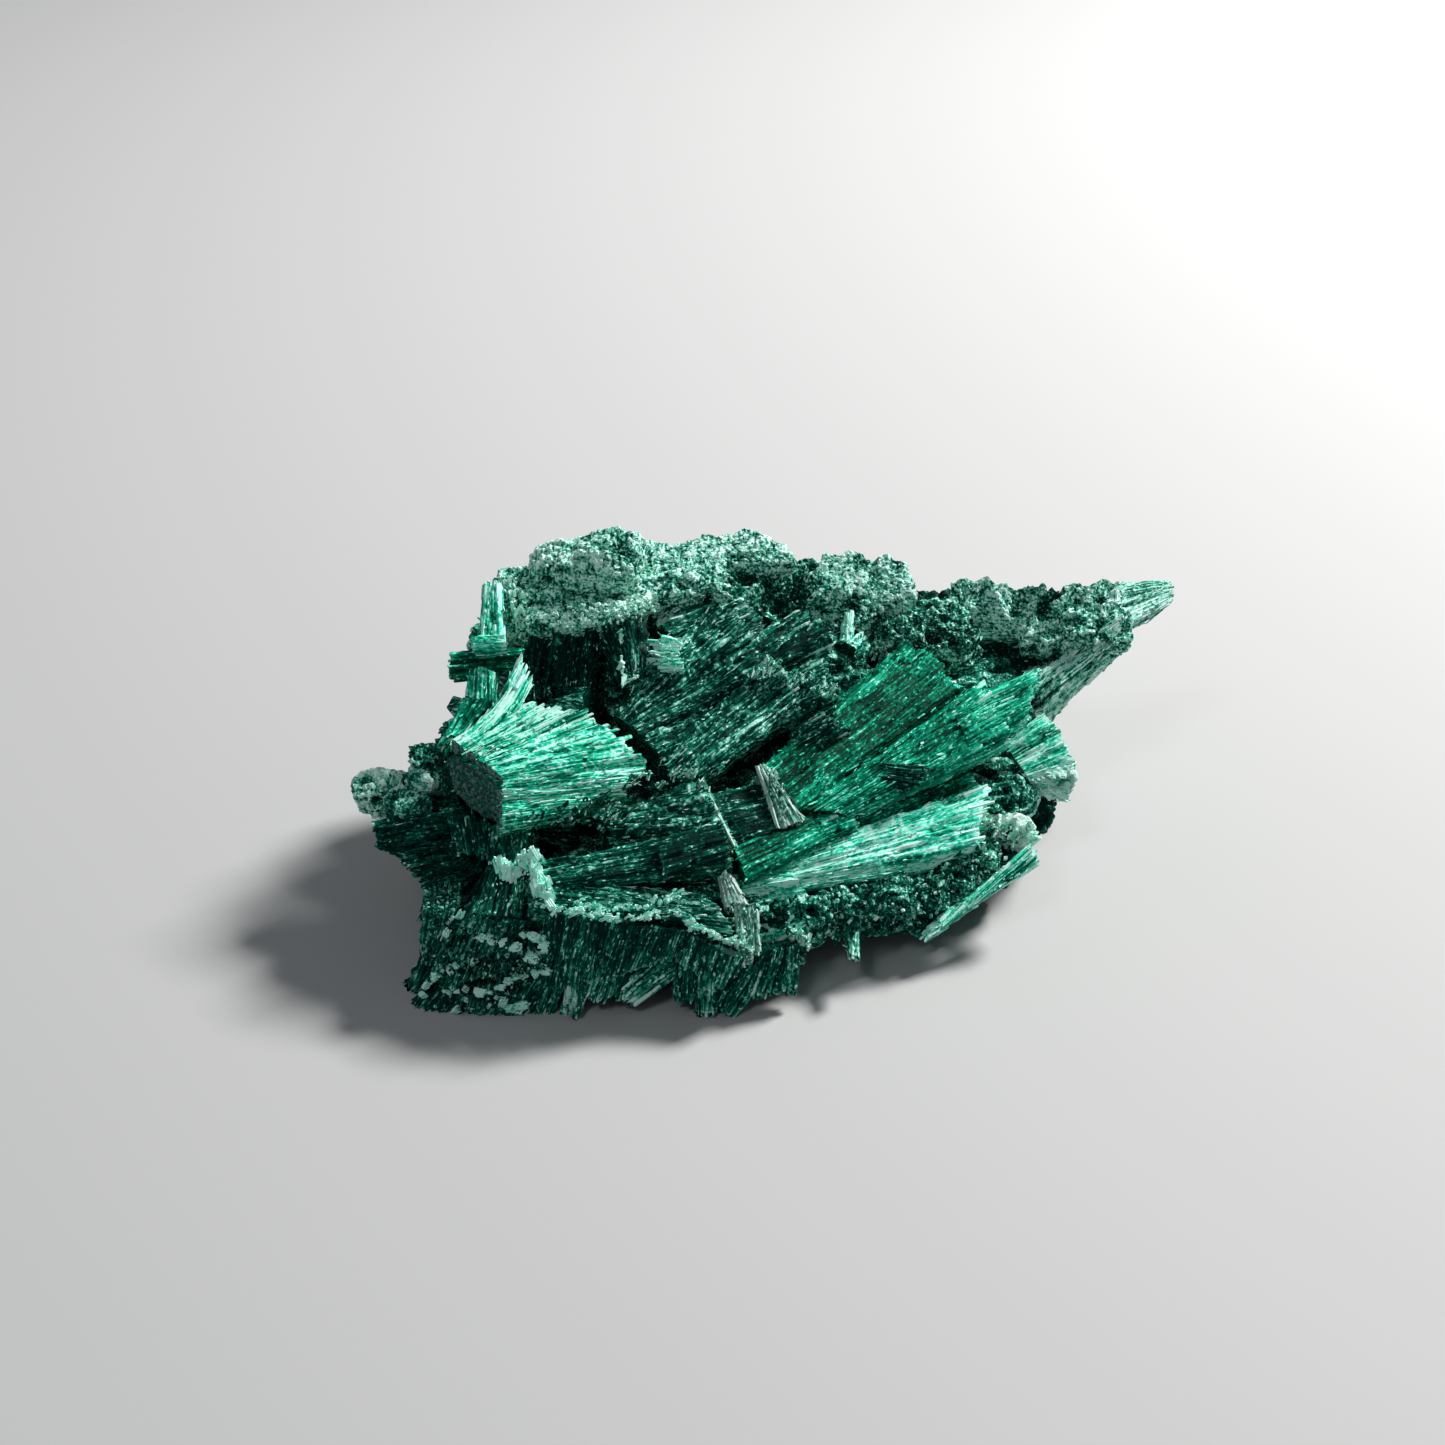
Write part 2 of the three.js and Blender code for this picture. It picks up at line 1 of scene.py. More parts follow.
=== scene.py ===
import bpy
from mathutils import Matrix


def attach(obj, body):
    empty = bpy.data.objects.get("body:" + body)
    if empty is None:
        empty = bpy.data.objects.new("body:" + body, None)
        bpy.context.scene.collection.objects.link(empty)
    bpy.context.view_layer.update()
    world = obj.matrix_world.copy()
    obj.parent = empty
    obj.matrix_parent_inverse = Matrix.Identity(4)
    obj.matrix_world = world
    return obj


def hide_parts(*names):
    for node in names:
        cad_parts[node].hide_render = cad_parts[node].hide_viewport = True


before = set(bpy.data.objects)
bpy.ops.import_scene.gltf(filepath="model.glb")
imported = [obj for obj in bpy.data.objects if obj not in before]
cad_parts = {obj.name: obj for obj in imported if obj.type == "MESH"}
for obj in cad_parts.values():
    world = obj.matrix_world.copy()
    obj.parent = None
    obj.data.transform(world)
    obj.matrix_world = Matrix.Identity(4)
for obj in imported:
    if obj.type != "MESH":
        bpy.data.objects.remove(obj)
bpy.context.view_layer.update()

import math

import bpy
import numpy as np
from mathutils import Matrix, Vector
from mathutils.bvhtree import BVHTree

# Camera.
# It stands in front of the specimen, 106 mm over the floor, and looks 29.85 degrees down
# with its right side 1.55 degrees high.
CAMERA_PLACE_M = (-0.0047, -0.1607, 0.106)
DOWN_DEGREES = 29.85
RIGHT_HIGH_DEGREES = 1.55
camera_data = bpy.data.cameras.new("camera")
camera_data.sensor_width = 36
camera_data.lens = 58.95
camera_data.clip_start = 0.01
camera = bpy.data.objects.new("camera", camera_data)
bpy.context.scene.collection.objects.link(camera)
tilt = Matrix.Rotation(math.radians(90 - DOWN_DEGREES), 4, "X")
roll = Matrix.Rotation(math.radians(RIGHT_HIGH_DEGREES), 4, "Z")
camera.matrix_world = Matrix.Translation(CAMERA_PLACE_M) @ tilt @ roll
bpy.context.scene.camera = camera
bpy.context.scene.view_settings.view_transform = "Standard"

# Floor and light.
# A plain pale floor. The key lamp is high behind the right side, so the upper faces are
# bright and the faces towards the camera lie in soft shade, which two weak lamps open up.
FLOOR_HALF_M = 3
floor_corners = [(x * FLOOR_HALF_M, y * FLOOR_HALF_M, 0) for x, y in ((-1, -1), (1, -1), (1, 1), (-1, 1))]
floor_mesh = bpy.data.meshes.new("floor")
floor_mesh.from_pydata(floor_corners, [], [(0, 1, 2, 3)])
floor = bpy.data.objects.new("floor", floor_mesh)
bpy.context.scene.collection.objects.link(floor)
floor_material = bpy.data.materials.new("floor")
floor_material.use_nodes = True
floor_shader = floor_material.node_tree.nodes["Principled BSDF"]
floor_shader.inputs["Base Color"].default_value = (0.44, 0.45, 0.46, 1)
floor_shader.inputs["Roughness"].default_value = 0.8
floor_mesh.materials.append(floor_material)


def lamp(name, toward, distance, size, power, colour):
    """A square lamp that stands off the specimen in one direction and faces it."""
    data = bpy.data.lights.new(name, "AREA")
    data.shape = "SQUARE"
    data.size = size
    data.energy = power
    data.color = colour
    light = bpy.data.objects.new(name, data)
    bpy.context.scene.collection.objects.link(light)
    away = Vector(toward).normalized()
    turn = away.to_track_quat("Z", "Y").to_matrix().to_4x4()
    light.matrix_world = Matrix.Translation(away * distance + Vector((0, 0, 0.01))) @ turn


lamp("key", (0.56, 0.51, 0.66), 0.6, 0.12, 6.9, (1.0, 0.98, 0.94))
lamp("front_fill", (-0.35, -0.6, 0.85), 0.8, 0.15, 0.72, (0.95, 0.98, 1.0))
lamp("left_fill", (-0.9, 0.3, 0.6), 0.8, 0.5, 0.3, (0.95, 0.98, 1.0))
world = bpy.data.worlds.new("studio")
bpy.context.scene.world = world
world.use_nodes = True
world.node_tree.nodes["Background"].inputs["Color"].default_value = (0.9, 0.95, 1.0, 1)
world.node_tree.nodes["Background"].inputs["Strength"].default_value = 0.12

# Bright fan.
# A bright silky bundle of malachite fibres that grew side by side. It spreads from a clean
# break at the lower left to a feathered edge over a hollow, and under the break is a bare
# dark face.
cad_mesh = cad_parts["malachite_cluster"].data
cad_points = [v.co for v in cad_mesh.vertices]
cad_faces = [tuple(p.vertices) for p in cad_mesh.polygons]
cad_tree = BVHTree.FromPolygons(cad_points, cad_faces)
BURIED_MM = 1.7  # what lies deeper than this in the solid isn't kept
SMALLEST_M = 1e-7  # a face smaller than this isn't kept
OVAL_POWER = 0.5  # how square a bundle's section is, where 1 is a plain oval
ROW_SHARE = 0.87  # the distance of the rows in a triangular grid, over that of its points
RIB_MM = (2.5, 6)  # the shortest unbroken length of a rib, and how much longer it can be
FIBRE_MM = (0.6, 1.9)  # the same of a single fibre
CLUMP_MM = 1.5  # how wide the clumps of a ragged end are
SPLINTERS_A_MM2 = 1.5
GRAIN_SHIFT = 0.61  # how far the pattern is shifted from one seed to the next
LOOSE, FIBRE, ROUGH = 0, 1, 2  # the kinds of surface: splinters, sides of bundles, broken stone
CHANCE_START = 88172645463325252
CHANCE_STEP = np.uint64(0x9E3779B97F4A7C15)
CHANCE_FACTORS = np.uint64(0xBF58476D1CE4E5B9), np.uint64(0x94D049BB133111EB)


def chance(*whole):
    """A repeatable number from 0 to 1 for each row of whole numbers.

    Each number in turn is added, times a large odd step, and the sum is mixed by shifts and factors."""
    mixed = np.full(1, CHANCE_START, np.uint64)
    for part in whole:
        number = np.asarray(part).astype(np.int64).astype(np.uint64)
        mixed = mixed + number * CHANCE_STEP
        mixed = (mixed ^ (mixed >> np.uint64(30))) * CHANCE_FACTORS[0]
        mixed = (mixed ^ (mixed >> np.uint64(27))) * CHANCE_FACTORS[1]
        mixed = mixed ^ (mixed >> np.uint64(31))
    return mixed / 2.0**64


def swell(points, cell, seed):
    """Smooth noise from 0 to 1: a chance value at each corner of a cubic lattice, eased in between.

    A corner's share is the product over x, y and z of 3 p^2 - 2 p^3, with p from 0 to 1 across the cell."""
    scaled = np.asarray(points, float) / cell
    corner = np.floor(scaled).astype(np.int64)
    part = scaled - corner
    part = part * part * (3 - 2 * part)
    total = np.zeros(scaled.shape[:-1])
    for step in np.ndindex(2, 2, 2):
        share = np.prod(np.where(step, part, 1 - part), axis=-1)
        place = corner + np.array(step)
        total += share * chance(seed, place[..., 0], place[..., 1], place[..., 2])
    return total


def unit(vectors):
    """Each vector over its own length."""
    vectors = np.asarray(vectors, float)
    return vectors / np.maximum(np.linalg.norm(vectors, axis=-1, keepdims=True), 1e-9)


def surface(points, faces, tone, tip, cut, grain, kind):
    """One part of a mesh: points in mm, its faces, and values that belong to the points.

    A face has four corners, the last of which is -1 in a triangle. tone is how pale a point is, tip how
    near a broken tip, cut how bare, and grain its place round and along the fibres."""
    spread = [np.broadcast_to(np.asarray(value, float), len(points)) for value in (tone, tip, cut)]
    return {"points": points, "faces": faces, "values": spread, "grain": grain, "kind": kind}


def prisms(root, tip, side, root_half, tip_half, tone, root_tip, cut, seed):
    """Splinters: root and tip squares across the line between them, with the tip square broken askew.

    A corner is root + (across x + side y) root_half, or tip + (across x + side y) tip_half plus a
    random length along the splinter."""
    count = len(root)
    along = unit(tip - root)
    side = unit(side - along * np.sum(side * along, axis=1, keepdims=True))
    across = np.cross(along, side)
    number = np.arange(count)
    points = np.zeros((count, 8, 3))
    for corner, (x, y) in enumerate([(1, 0), (0, 0.85), (-1, 0), (0, -0.85)]):
        offset = across * x + side * y
        skew = (chance(seed, corner, number) - 0.5) * 2.2
        points[:, corner] = root + offset * root_half[:, None]
        points[:, corner + 4] = tip + offset * tip_half[:, None] + along * (skew * tip_half)[:, None]
    block = np.array([(0, 1, 5, 4), (1, 2, 6, 5), (2, 3, 7, 6), (3, 0, 4, 7), (4, 5, 6, 7), (3, 2, 1, 0)])
    faces = (block[None] + number[:, None, None] * 8).reshape(-1, 4)
    grain = np.zeros((count, 8, 3))
    grain[:, :, 0] = np.array([0, 0.3, 0.6, 0.9] * 2) * root_half[:, None] * 2 + number[:, None] * 0.37
    grain[:, 4:, 1] = np.linalg.norm(tip - root, axis=1)[:, None]
    grain[:, :, 2] = seed * GRAIN_SHIFT
    tips = np.zeros((count, 8))
    tips[:, :4] = root_tip
    tips[:, 4:] = 0.75
    values = np.repeat(tone, 8), tips.ravel(), cut
    return surface(points.reshape(-1, 3), faces, *values, grain.reshape(-1, 3), LOOSE)


def bundle(root, tip, seed, ragged=(None, 1.6), pitch=0.33, relief=0.5, pale=0.0, splinters=1.0,
           lift=0.2, bow=(0, 0, 0), bare=0.0, step=0.38, cap=0.35):
    """Closed surface of a bundle of fibres, with broken ends and loose splinters.

    root and tip are each a middle, half the width across and half the depth outward, in mm. A point is
    middle(s) + across(s) x(u) + out(s) y(u) + height(u, s) outward. (x, y) goes once round a squared-up
    oval in u, and the frame goes from root to tip in s, bent by bow. Height is relief times one level a
    rib and one a fibre, each of which changes at breaks along the bundle. ragged is how far the fibre
    ends are out of line at the root and the tip, 0 for a clean break and None for a plain lid inside
    the stone. Fibres are pitch apart, with points every step. pale is added to each tone, bare is how
    bare the fibres are, and cap is the tone of an end. splinters is how thick the loose ones lie, and
    lift how far they stand up."""
    foot, foot_across, foot_out = np.array(root, float)
    head, head_across, head_out = np.array(tip, float)
    bow = np.array(bow, float)
    length = np.linalg.norm(head - foot)
    along = unit(head - foot)
    turn = np.linspace(0, 2 * math.pi, 721)
    oval_x = np.sign(np.cos(turn)) * np.abs(np.cos(turn)) ** OVAL_POWER
    oval_y = np.sign(np.sin(turn)) * np.abs(np.sin(turn)) ** OVAL_POWER
    half_x = (np.linalg.norm(foot_across) + np.linalg.norm(head_across)) / 2
    half_y = (np.linalg.norm(foot_out) + np.linalg.norm(head_out)) / 2
    pieces = np.hypot(np.diff(oval_x) * half_x, np.diff(oval_y) * half_y)
    arc = np.concatenate([[0], np.cumsum(pieces)])
    count = max(10, round(arc[-1] / pitch))
    fibre = np.repeat(np.arange(count), 3)
    spot = np.tile([0, 1, 2], count)
    edge = np.arange(count) + 0.35 * (chance(seed, 1, np.arange(count)) - 0.5)
    girth = (np.repeat(edge, 3) + np.array([0, 0.34, 0.7])[spot]) / count * arc[-1] % arc[-1]
    x, y = np.interp(girth, arc, oval_x), np.interp(girth, arc, oval_y)
    steep = 2 / OVAL_POWER - 1
    way_x = np.sign(x) * np.abs(x) ** steep / half_x
    way_y = np.sign(y) * np.abs(y) ** steep / half_y
    way = np.hypot(way_x, way_y)
    way_x, way_y = way_x / way, way_y / way
    rib = np.cumsum(chance(seed, 2, np.arange(count)) < 0.3)[fibre]

    def line(s, px, py):
        """Points of the fibre lines at share s of the length and place (px, py) in the section."""
        s, px, py = (np.asarray(value, float)[..., None] for value in (s, px, py))
        held = np.clip(s, -0.15, 1.15)
        middle = foot + (head - foot) * s + bow * (4 * s * (1 - s))
        wide = foot_across + (head_across - foot_across) * held
        deep = foot_out + (head_out - foot_out) * held
        return middle + wide * px + deep * py

    def reach(which, px, py, number):
        """How far past the end the fibres at (px, py) go: in clumps, and each fibre a little."""
        if not ragged[which]:
            return np.zeros(np.shape(px))
        end_place = np.full(np.shape(px), seed * 3.7 + which * 9.1)
        clump = swell(np.stack([px * half_x, py * half_y, end_place], axis=-1), CLUMP_MM, seed + 50)
        return ragged[which] * (0.9 * clump + 0.5 * chance(seed, 11 + which, number) - 0.8)

    first = -reach(0, x, y, fibre)
    last = length + reach(1, x, y, fibre)
    stations = max(6, round(length / step))
    share = np.linspace(0, 1, stations + 1)[:, None]
    place = first + (last - first) * share
    rib_length = RIB_MM[0] + RIB_MM[1] * chance(seed, 3, rib)
    rib_break = np.floor(place / rib_length + 10 * chance(seed, 4, rib))
    rib_level = chance(seed, 5, rib, rib_break)
    fibre_length = FIBRE_MM[0] + FIBRE_MM[1] * chance(seed, 6, fibre)
    fibre_break = np.floor(place / fibre_length + 10 * chance(seed, 7, fibre))
    fibre_level = chance(seed, 8, fibre, fibre_break)
    thin = min(1.0, half_y / 1.3)
    centre = line(place / length, x, y)
    height = 0.8 * (rib_level - 0.5) + 0.6 * (fibre_level - 0.5)
    height = relief * thin * (height + 0.9 * (swell(centre, 3.5, seed + 7) - 0.5))
    groove = np.minimum(height, np.roll(height, 1, axis=1)) - 0.06
    height = np.where(spot == 0, groove, height)
    across, out = unit(foot_across + head_across), unit(foot_out + head_out)
    outward = across * way_x[:, None] + out * way_y[:, None]
    points = centre + outward[None] * height[..., None]
    broken = np.zeros_like(height)
    broken[1:] = np.clip(np.abs(np.diff(height, axis=0)) / 0.25, 0, 1) * 0.8
    for which, gap in ((0, place - first), (1, last - place)):
        if ragged[which]:
            broken = np.maximum(broken, np.exp(-gap / 0.5))
    tone = 0.35 * chance(seed, 9, fibre) + 0.3 * fibre_level
    tone = tone + 0.35 * chance(seed, 10, rib, rib_break) + pale
    # The groove line beside each fibre is painted darker, as shade in the groove.
    tone = np.where(spot == 0, tone - 0.12, tone)
    columns = len(x)
    beside = (np.arange(columns) + 1) % columns

    def rings(number):
        """Faces between rings of points, each ring beside the next, which is further along."""
        here = np.arange(number)[:, None] * columns + np.arange(columns)
        right = np.arange(number)[:, None] * columns + beside
        return np.stack([here, right, right + columns, here + columns], axis=-1).reshape(-1, 4)

    own = np.full(place.shape, seed * GRAIN_SHIFT)
    grain = np.stack([np.broadcast_to(girth, place.shape), place, own], axis=-1)
    values = tone.ravel(), broken.ravel(), bare
    parts = [surface(points.reshape(-1, 3), rings(stations), *values, grain.reshape(-1, 3), FIBRE)]

    for which in (0, 1):
        inside_stone = ragged[which] is None
        loops = [points[-1] if which else points[0]]
        rim_place = last if which else first
        sink = (ragged[which] or 0) * (-0.7 if which else 0.7)
        for inner in () if inside_stone else (0.75, 0.5, 0.25):
            flat = (length if which else 0.0) + sink
            mixed = rim_place * inner + flat * (1 - inner) if ragged[which] else rim_place
            spots = line(mixed / length, x * inner, y * inner)
            rough = (swell(spots, 0.6, seed + 31) - 0.5) * 0.3
            loops.append(spots + along * rough[:, None])
        middle = np.full(columns, len(loops) * columns)
        inner_ring = (len(loops) - 1) * columns + np.arange(columns)
        next_along = (len(loops) - 1) * columns + beside
        lid = np.stack([inner_ring, next_along, middle, -np.ones(columns, int)], axis=-1)
        cap_points = np.concatenate(loops + [loops[-1].mean(axis=0, keepdims=True)])
        cap_faces = np.concatenate([rings(len(loops) - 1), lid])
        if not which:
            quads = cap_faces[:, 3] >= 0
            cap_faces[quads] = cap_faces[quads][:, ::-1]
            cap_faces[~quads, :3] = cap_faces[~quads][:, 2::-1]
        cut = 1.0 if ragged[which] == 0 else bare
        lid_tone = -0.2 if inside_stone else cap
        parts.append(surface(cap_points, cap_faces, lid_tone, 0, cut, cap_points * (1, 2.4, 6), ROUGH))
        if not ragged[which]:
            continue
        most_x, most_y = int(half_x * 2 / pitch) + 2, int(half_y * 2 / (pitch * ROW_SHARE)) + 2
        row = np.arange(-most_y, most_y + 1)
        gx, gy = np.meshgrid(np.arange(-most_x, most_x + 1) * pitch, row * pitch * ROW_SHARE)
        gx = gx + np.where(row % 2 == 0, 0, pitch / 2)[:, None]
        number = np.arange(gx.size)
        px = (gx.ravel() + (chance(seed, 21 + which, number) - 0.5) * pitch * 0.5) / half_x
        py = (gy.ravel() + (chance(seed, 23 + which, number) - 0.5) * pitch * 0.5) / half_y
        inside = np.abs(px) ** (2 / OVAL_POWER) + np.abs(py) ** (2 / OVAL_POWER) < 0.9
        px, py, number = px[inside], py[inside], number[inside]
        outer = reach(which, px, py, number + 1000)
        tip_place = length + outer if which else -outer
        root_place = tip_place + (-1 if which else 1) * (1.2 + 1.8 * chance(seed, 25, number))
        low, high = line(root_place / length, px, py), line(tip_place / length, px, py)
        wander = (np.stack([chance(seed, 26 + k, number) for k in range(3)], axis=1) - 0.5) * 0.22
        half = pitch * (0.42 + 0.25 * chance(seed, 29, number))
        tip_half = half * (0.45 + 0.5 * chance(seed, 32, number))
        tone = 0.25 + 0.75 * chance(seed, 30, number) + pale
        side = np.broadcast_to(out, low.shape)
        parts.append(prisms(low, high + wander, side, half, tip_half, tone, 0.1, bare, seed + 5))

    number = np.arange(int(splinters * arc[-1] * length * SPLINTERS_A_MM2))
    if len(number):
        pick_u = (chance(seed, 41, number) * columns).astype(int)
        pick_s = (chance(seed, 42, number) * stations * 0.98).astype(int)
        forward = np.where(chance(seed, 44, number) < 0.7, 1, -1)
        picked = place[pick_s, pick_u]
        room = np.where(forward > 0, last[pick_u] - picked, picked - first[pick_u])
        long = 0.9 + 1.8 * chance(seed, 43, number) ** 2
        short = 0.22 + 0.6 * chance(seed, 43, number) ** 1.5
        size = np.where(chance(seed, 51, number) < 0.1, long, short)
        size = np.minimum(size, 0.3 + 1.3 * room)
        base, up = points[pick_s, pick_u], outward[pick_u]
        ahead = line((picked + 0.5) / length, x[pick_u], y[pick_u])
        flow = unit(ahead - centre[pick_s, pick_u]) * forward[:, None]
        sideways = np.cross(flow, up) * ((chance(seed, 45, number) - 0.5) * 0.16 * size)[:, None]
        raised = up * (lift * chance(seed, 46, number) ** 2 + 0.05)[:, None]
        start_point = base - up * 0.05 - flow * (size * 0.3)[:, None]
        tip_point = base + flow * (size * 0.7)[:, None] + sideways + raised
        half = 0.035 + 0.08 * chance(seed, 48, number) ** 1.5
        tone = 0.1 + 0.9 * chance(seed, 49, number) + pale
        parts.append(prisms(start_point, tip_point, up, half, half * 0.8, tone, 0.15, bare, seed + 6))
    return parts


def grow(name, parts, material):
    """One mesh object from its parts, in metres.

    What would go through the floor is brought up to it, and faces that lie deep in the stone, are no
    larger than a point or are splinters flat on the floor are left out."""
    points = np.concatenate([part["points"] for part in parts]) / 1000
    offsets = np.cumsum([0] + [len(part["points"]) for part in parts[:-1]])
    faces = [part["faces"] for part in parts]
    faces = np.concatenate([np.where(some >= 0, some + offset, -1) for some, offset in zip(faces, offsets)])
    kind = np.concatenate([np.full(len(part["faces"]), part["kind"]) for part in parts])
    values = [np.concatenate([part["values"][k] for part in parts]) for k in range(3)]
    grain = np.concatenate([part["grain"] for part in parts])
    points[:, 2] = np.maximum(points[:, 2], 0)
    hidden = np.zeros(len(points), bool)
    for i, point in enumerate(points):
        near, normal, _, gap = cad_tree.find_nearest(Vector(point), 0.03)
        hidden[i] = gap is not None and gap > BURIED_MM / 1000 and (Vector(point) - near).dot(normal) < 0
    corners = np.where(faces >= 0, faces, faces[:, :1])
    level = (points[corners][:, :, 2] <= 0).all(axis=1)
    small = np.ptp(points[corners], axis=1).max(axis=1) < SMALLEST_M
    kept = ~hidden[corners].all(axis=1) & ~small & ~(level & (kind == LOOSE))
    faces, kind = faces[kept], kind[kept]
    used = np.zeros(len(points), bool)
    used[faces[faces >= 0]] = True
    renumber = np.cumsum(used) - 1
    faces = np.where(faces >= 0, renumber[faces], -1)
    points, grain = points[used], grain[used]
    values = [value[used] for value in values]
    sides = np.where(faces[:, 3] >= 0, 4, 3)
    corner_list = faces[faces >= 0]
    mesh = bpy.data.meshes.new(name)
    mesh.vertices.add(len(points))
    mesh.vertices.foreach_set("co", points.astype(np.float32).ravel())
    mesh.loops.add(len(corner_list))
    mesh.loops.foreach_set("vertex_index", corner_list.astype(np.int32))
    mesh.polygons.add(len(faces))
    starts = np.concatenate([[0], np.cumsum(sides)[:-1]])
    mesh.polygons.foreach_set("loop_start", starts.astype(np.int32))
    mesh.polygons.foreach_set("use_smooth", kind == FIBRE)
    for key, value in zip(("tone", "tip", "cut"), values):
        mesh.attributes.new(key, "FLOAT", "POINT").data.foreach_set("value", value.astype(np.float32))
    grain_values = mesh.attributes.new("grain", "FLOAT_VECTOR", "POINT").data
    grain_values.foreach_set("vector", grain.astype(np.float32).ravel())
    mesh.update(calc_edges=True)
    mesh.validate()
    mesh.materials.append(material)
    piece = bpy.data.objects.new(name, mesh)
    bpy.context.scene.collection.objects.link(piece)
    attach(piece, "root")
    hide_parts("malachite_cluster")
    print("grown", name, int((sides - 2).sum()), "triangles")


def mineral(name, shift, stops, streaks=1.0, granular=0.0):
    """Malachite by fibre, streak and patch, from deep green to pale, and grey-green where it is bare.

    The place on the ramp of stops is shift plus shares of tone, tip, long streaks, patches, white flecks
    and cracks, less dark specks. The white flecks are partly painted glints on broken fibre ends, and the
    dark specks painted shade in the gaps between fibres. streaks is how strong the streaks are, and
    granular how gritty it is."""
    material = bpy.data.materials.new(name)
    material.use_nodes = True
    nodes, links = material.node_tree.nodes, material.node_tree.links
    shader = nodes["Principled BSDF"]

    def attribute(key, output):
        node = nodes.new("ShaderNodeAttribute")
        node.attribute_name = key
        return node.outputs[output]

    def calc(operation, one, two, clamp=False):
        node = nodes.new("ShaderNodeMath")
        node.operation = operation
        node.use_clamp = clamp
        for socket, value in zip(node.inputs, (one, two)):
            if hasattr(value, "is_linked"):
                links.new(value, socket)
            else:
                socket.default_value = value
        return node.outputs[0]

    def noise(vector, stretch, scale, detail):
        mapping = nodes.new("ShaderNodeMapping")
        mapping.inputs["Scale"].default_value = stretch
        links.new(vector, mapping.inputs["Vector"])
        node = nodes.new("ShaderNodeTexNoise")
        node.inputs["Scale"].default_value = scale
        node.inputs["Detail"].default_value = detail
        links.new(mapping.outputs[0], node.inputs["Vector"])
        return node.outputs["Fac"]

    # What the pattern is drawn from: places along the grain and in the specimen.
    grain = attribute("grain", "Vector")
    place = nodes.new("ShaderNodeTexCoord").outputs["Object"]
    tone, tip, cut = attribute("tone", "Fac"), attribute("tip", "Fac"), attribute("cut", "Fac")
    band = noise(grain, (1.3, 0.07, 1), 1.0, 2)
    fine = noise(grain, (5.5, 0.3, 1), 1.0, 2)
    streak = calc("ADD", calc("MULTIPLY", band, 0.4), calc("MULTIPLY", fine, 0.6))
    speck = noise(grain, (6.5, 2.6, 1), 1.0, 2)
    patch = noise(place, (1, 1, 1), 230, 3)
    # How pale the point is.
    level = calc("MULTIPLY", calc("SUBTRACT", tone, 0.5), 0.55)
    level = calc("ADD", level, calc("MULTIPLY", calc("SUBTRACT", streak, 0.5), 2.4 * streaks))
    level = calc("ADD", level, calc("MULTIPLY", calc("SUBTRACT", patch, 0.5), 0.5))
    level = calc("ADD", level, calc("MULTIPLY", tip, 0.34))
    # White flecks, partly painted glints on broken fibre ends, and dark specks of painted shade in the gaps
    # between fibres, both from one noise.
    white = calc("MULTIPLY", calc("SUBTRACT", speck, 0.58), 10.0, clamp=True)
    gap = calc("MULTIPLY", calc("SUBTRACT", 0.45, speck), 8.0, clamp=True)
    level = calc("ADD", level, calc("MULTIPLY", white, 0.48 + 0.1 * granular))
    level = calc("SUBTRACT", level, calc("MULTIPLY", gap, 0.26 + 0.12 * granular))
    crack = calc("SUBTRACT", noise(grain, (0.12, 0.3, 1), 1.0, 4), 0.5)
    crack = calc("MULTIPLY", calc("ABSOLUTE", crack, 0), 45)
    crack = calc("SUBTRACT", 1.0, crack, clamp=True)
    level = calc("ADD", level, calc("MULTIPLY", crack, 0.22 * streaks))
    level = calc("ADD", level, 0.42 + shift, clamp=True)
    ramp = nodes.new("ShaderNodeValToRGB")
    while len(ramp.color_ramp.elements) < len(stops):
        ramp.color_ramp.elements.new(0.5)
    for element, (spot, colour) in zip(ramp.color_ramp.elements, stops):
        element.position = spot
        element.color = (*colour, 1)
    links.new(level, ramp.inputs["Fac"])
    # Grey-green grit where it is bare.
    bare = nodes.new("ShaderNodeMix")
    bare.data_type = "RGBA"
    links.new(calc("MULTIPLY", cut, 0.85), bare.inputs["Factor"])
    links.new(ramp.outputs["Color"], bare.inputs["A"])
    dusty = nodes.new("ShaderNodeMix")
    dusty.data_type = "RGBA"
    gritty = noise(place, (1, 1, 1), 3500, 2)
    light_grit = calc("MULTIPLY", calc("SUBTRACT", gritty, 0.35), 1.4, clamp=True)
    lighter = calc("MULTIPLY", calc("SUBTRACT", tone, 0.4), 0.7)
    links.new(calc("ADD", light_grit, lighter, clamp=True), dusty.inputs["Factor"])
    dusty.inputs["A"].default_value = (0.012, 0.04, 0.04, 1)
    dusty.inputs["B"].default_value = (0.5, 0.62, 0.58, 1)
    links.new(dusty.outputs["Result"], bare.inputs["B"])
    links.new(bare.outputs["Result"], shader.inputs["Base Color"])
    links.new(calc("ADD", calc("MULTIPLY", speck, 0.3), 0.38), shader.inputs["Roughness"])
    shader.inputs["Specular IOR Level"].default_value = 0.06
    shader.inputs["Specular Tint"].default_value = (0.3, 1, 0.75, 1)
    # Finer fibres than the mesh has, and grit.
    bump = nodes.new("ShaderNodeBump")
    bump.inputs["Strength"].default_value = 0.6
    bump.inputs["Distance"].default_value = 0.00007
    ridges = calc("ADD", noise(grain, (6.0, 0.5, 1), 1.0, 2), calc("MULTIPLY", speck, 0.8))
    grit = calc("ADD", calc("MULTIPLY", cut, 1.2), granular)
    grit = calc("MULTIPLY", noise(place, (1, 1, 1), 2600, 2), grit)
    links.new(calc("ADD", ridges, grit), bump.inputs["Height"])
    links.new(bump.outputs["Normal"], shader.inputs["Normal"])
    return material


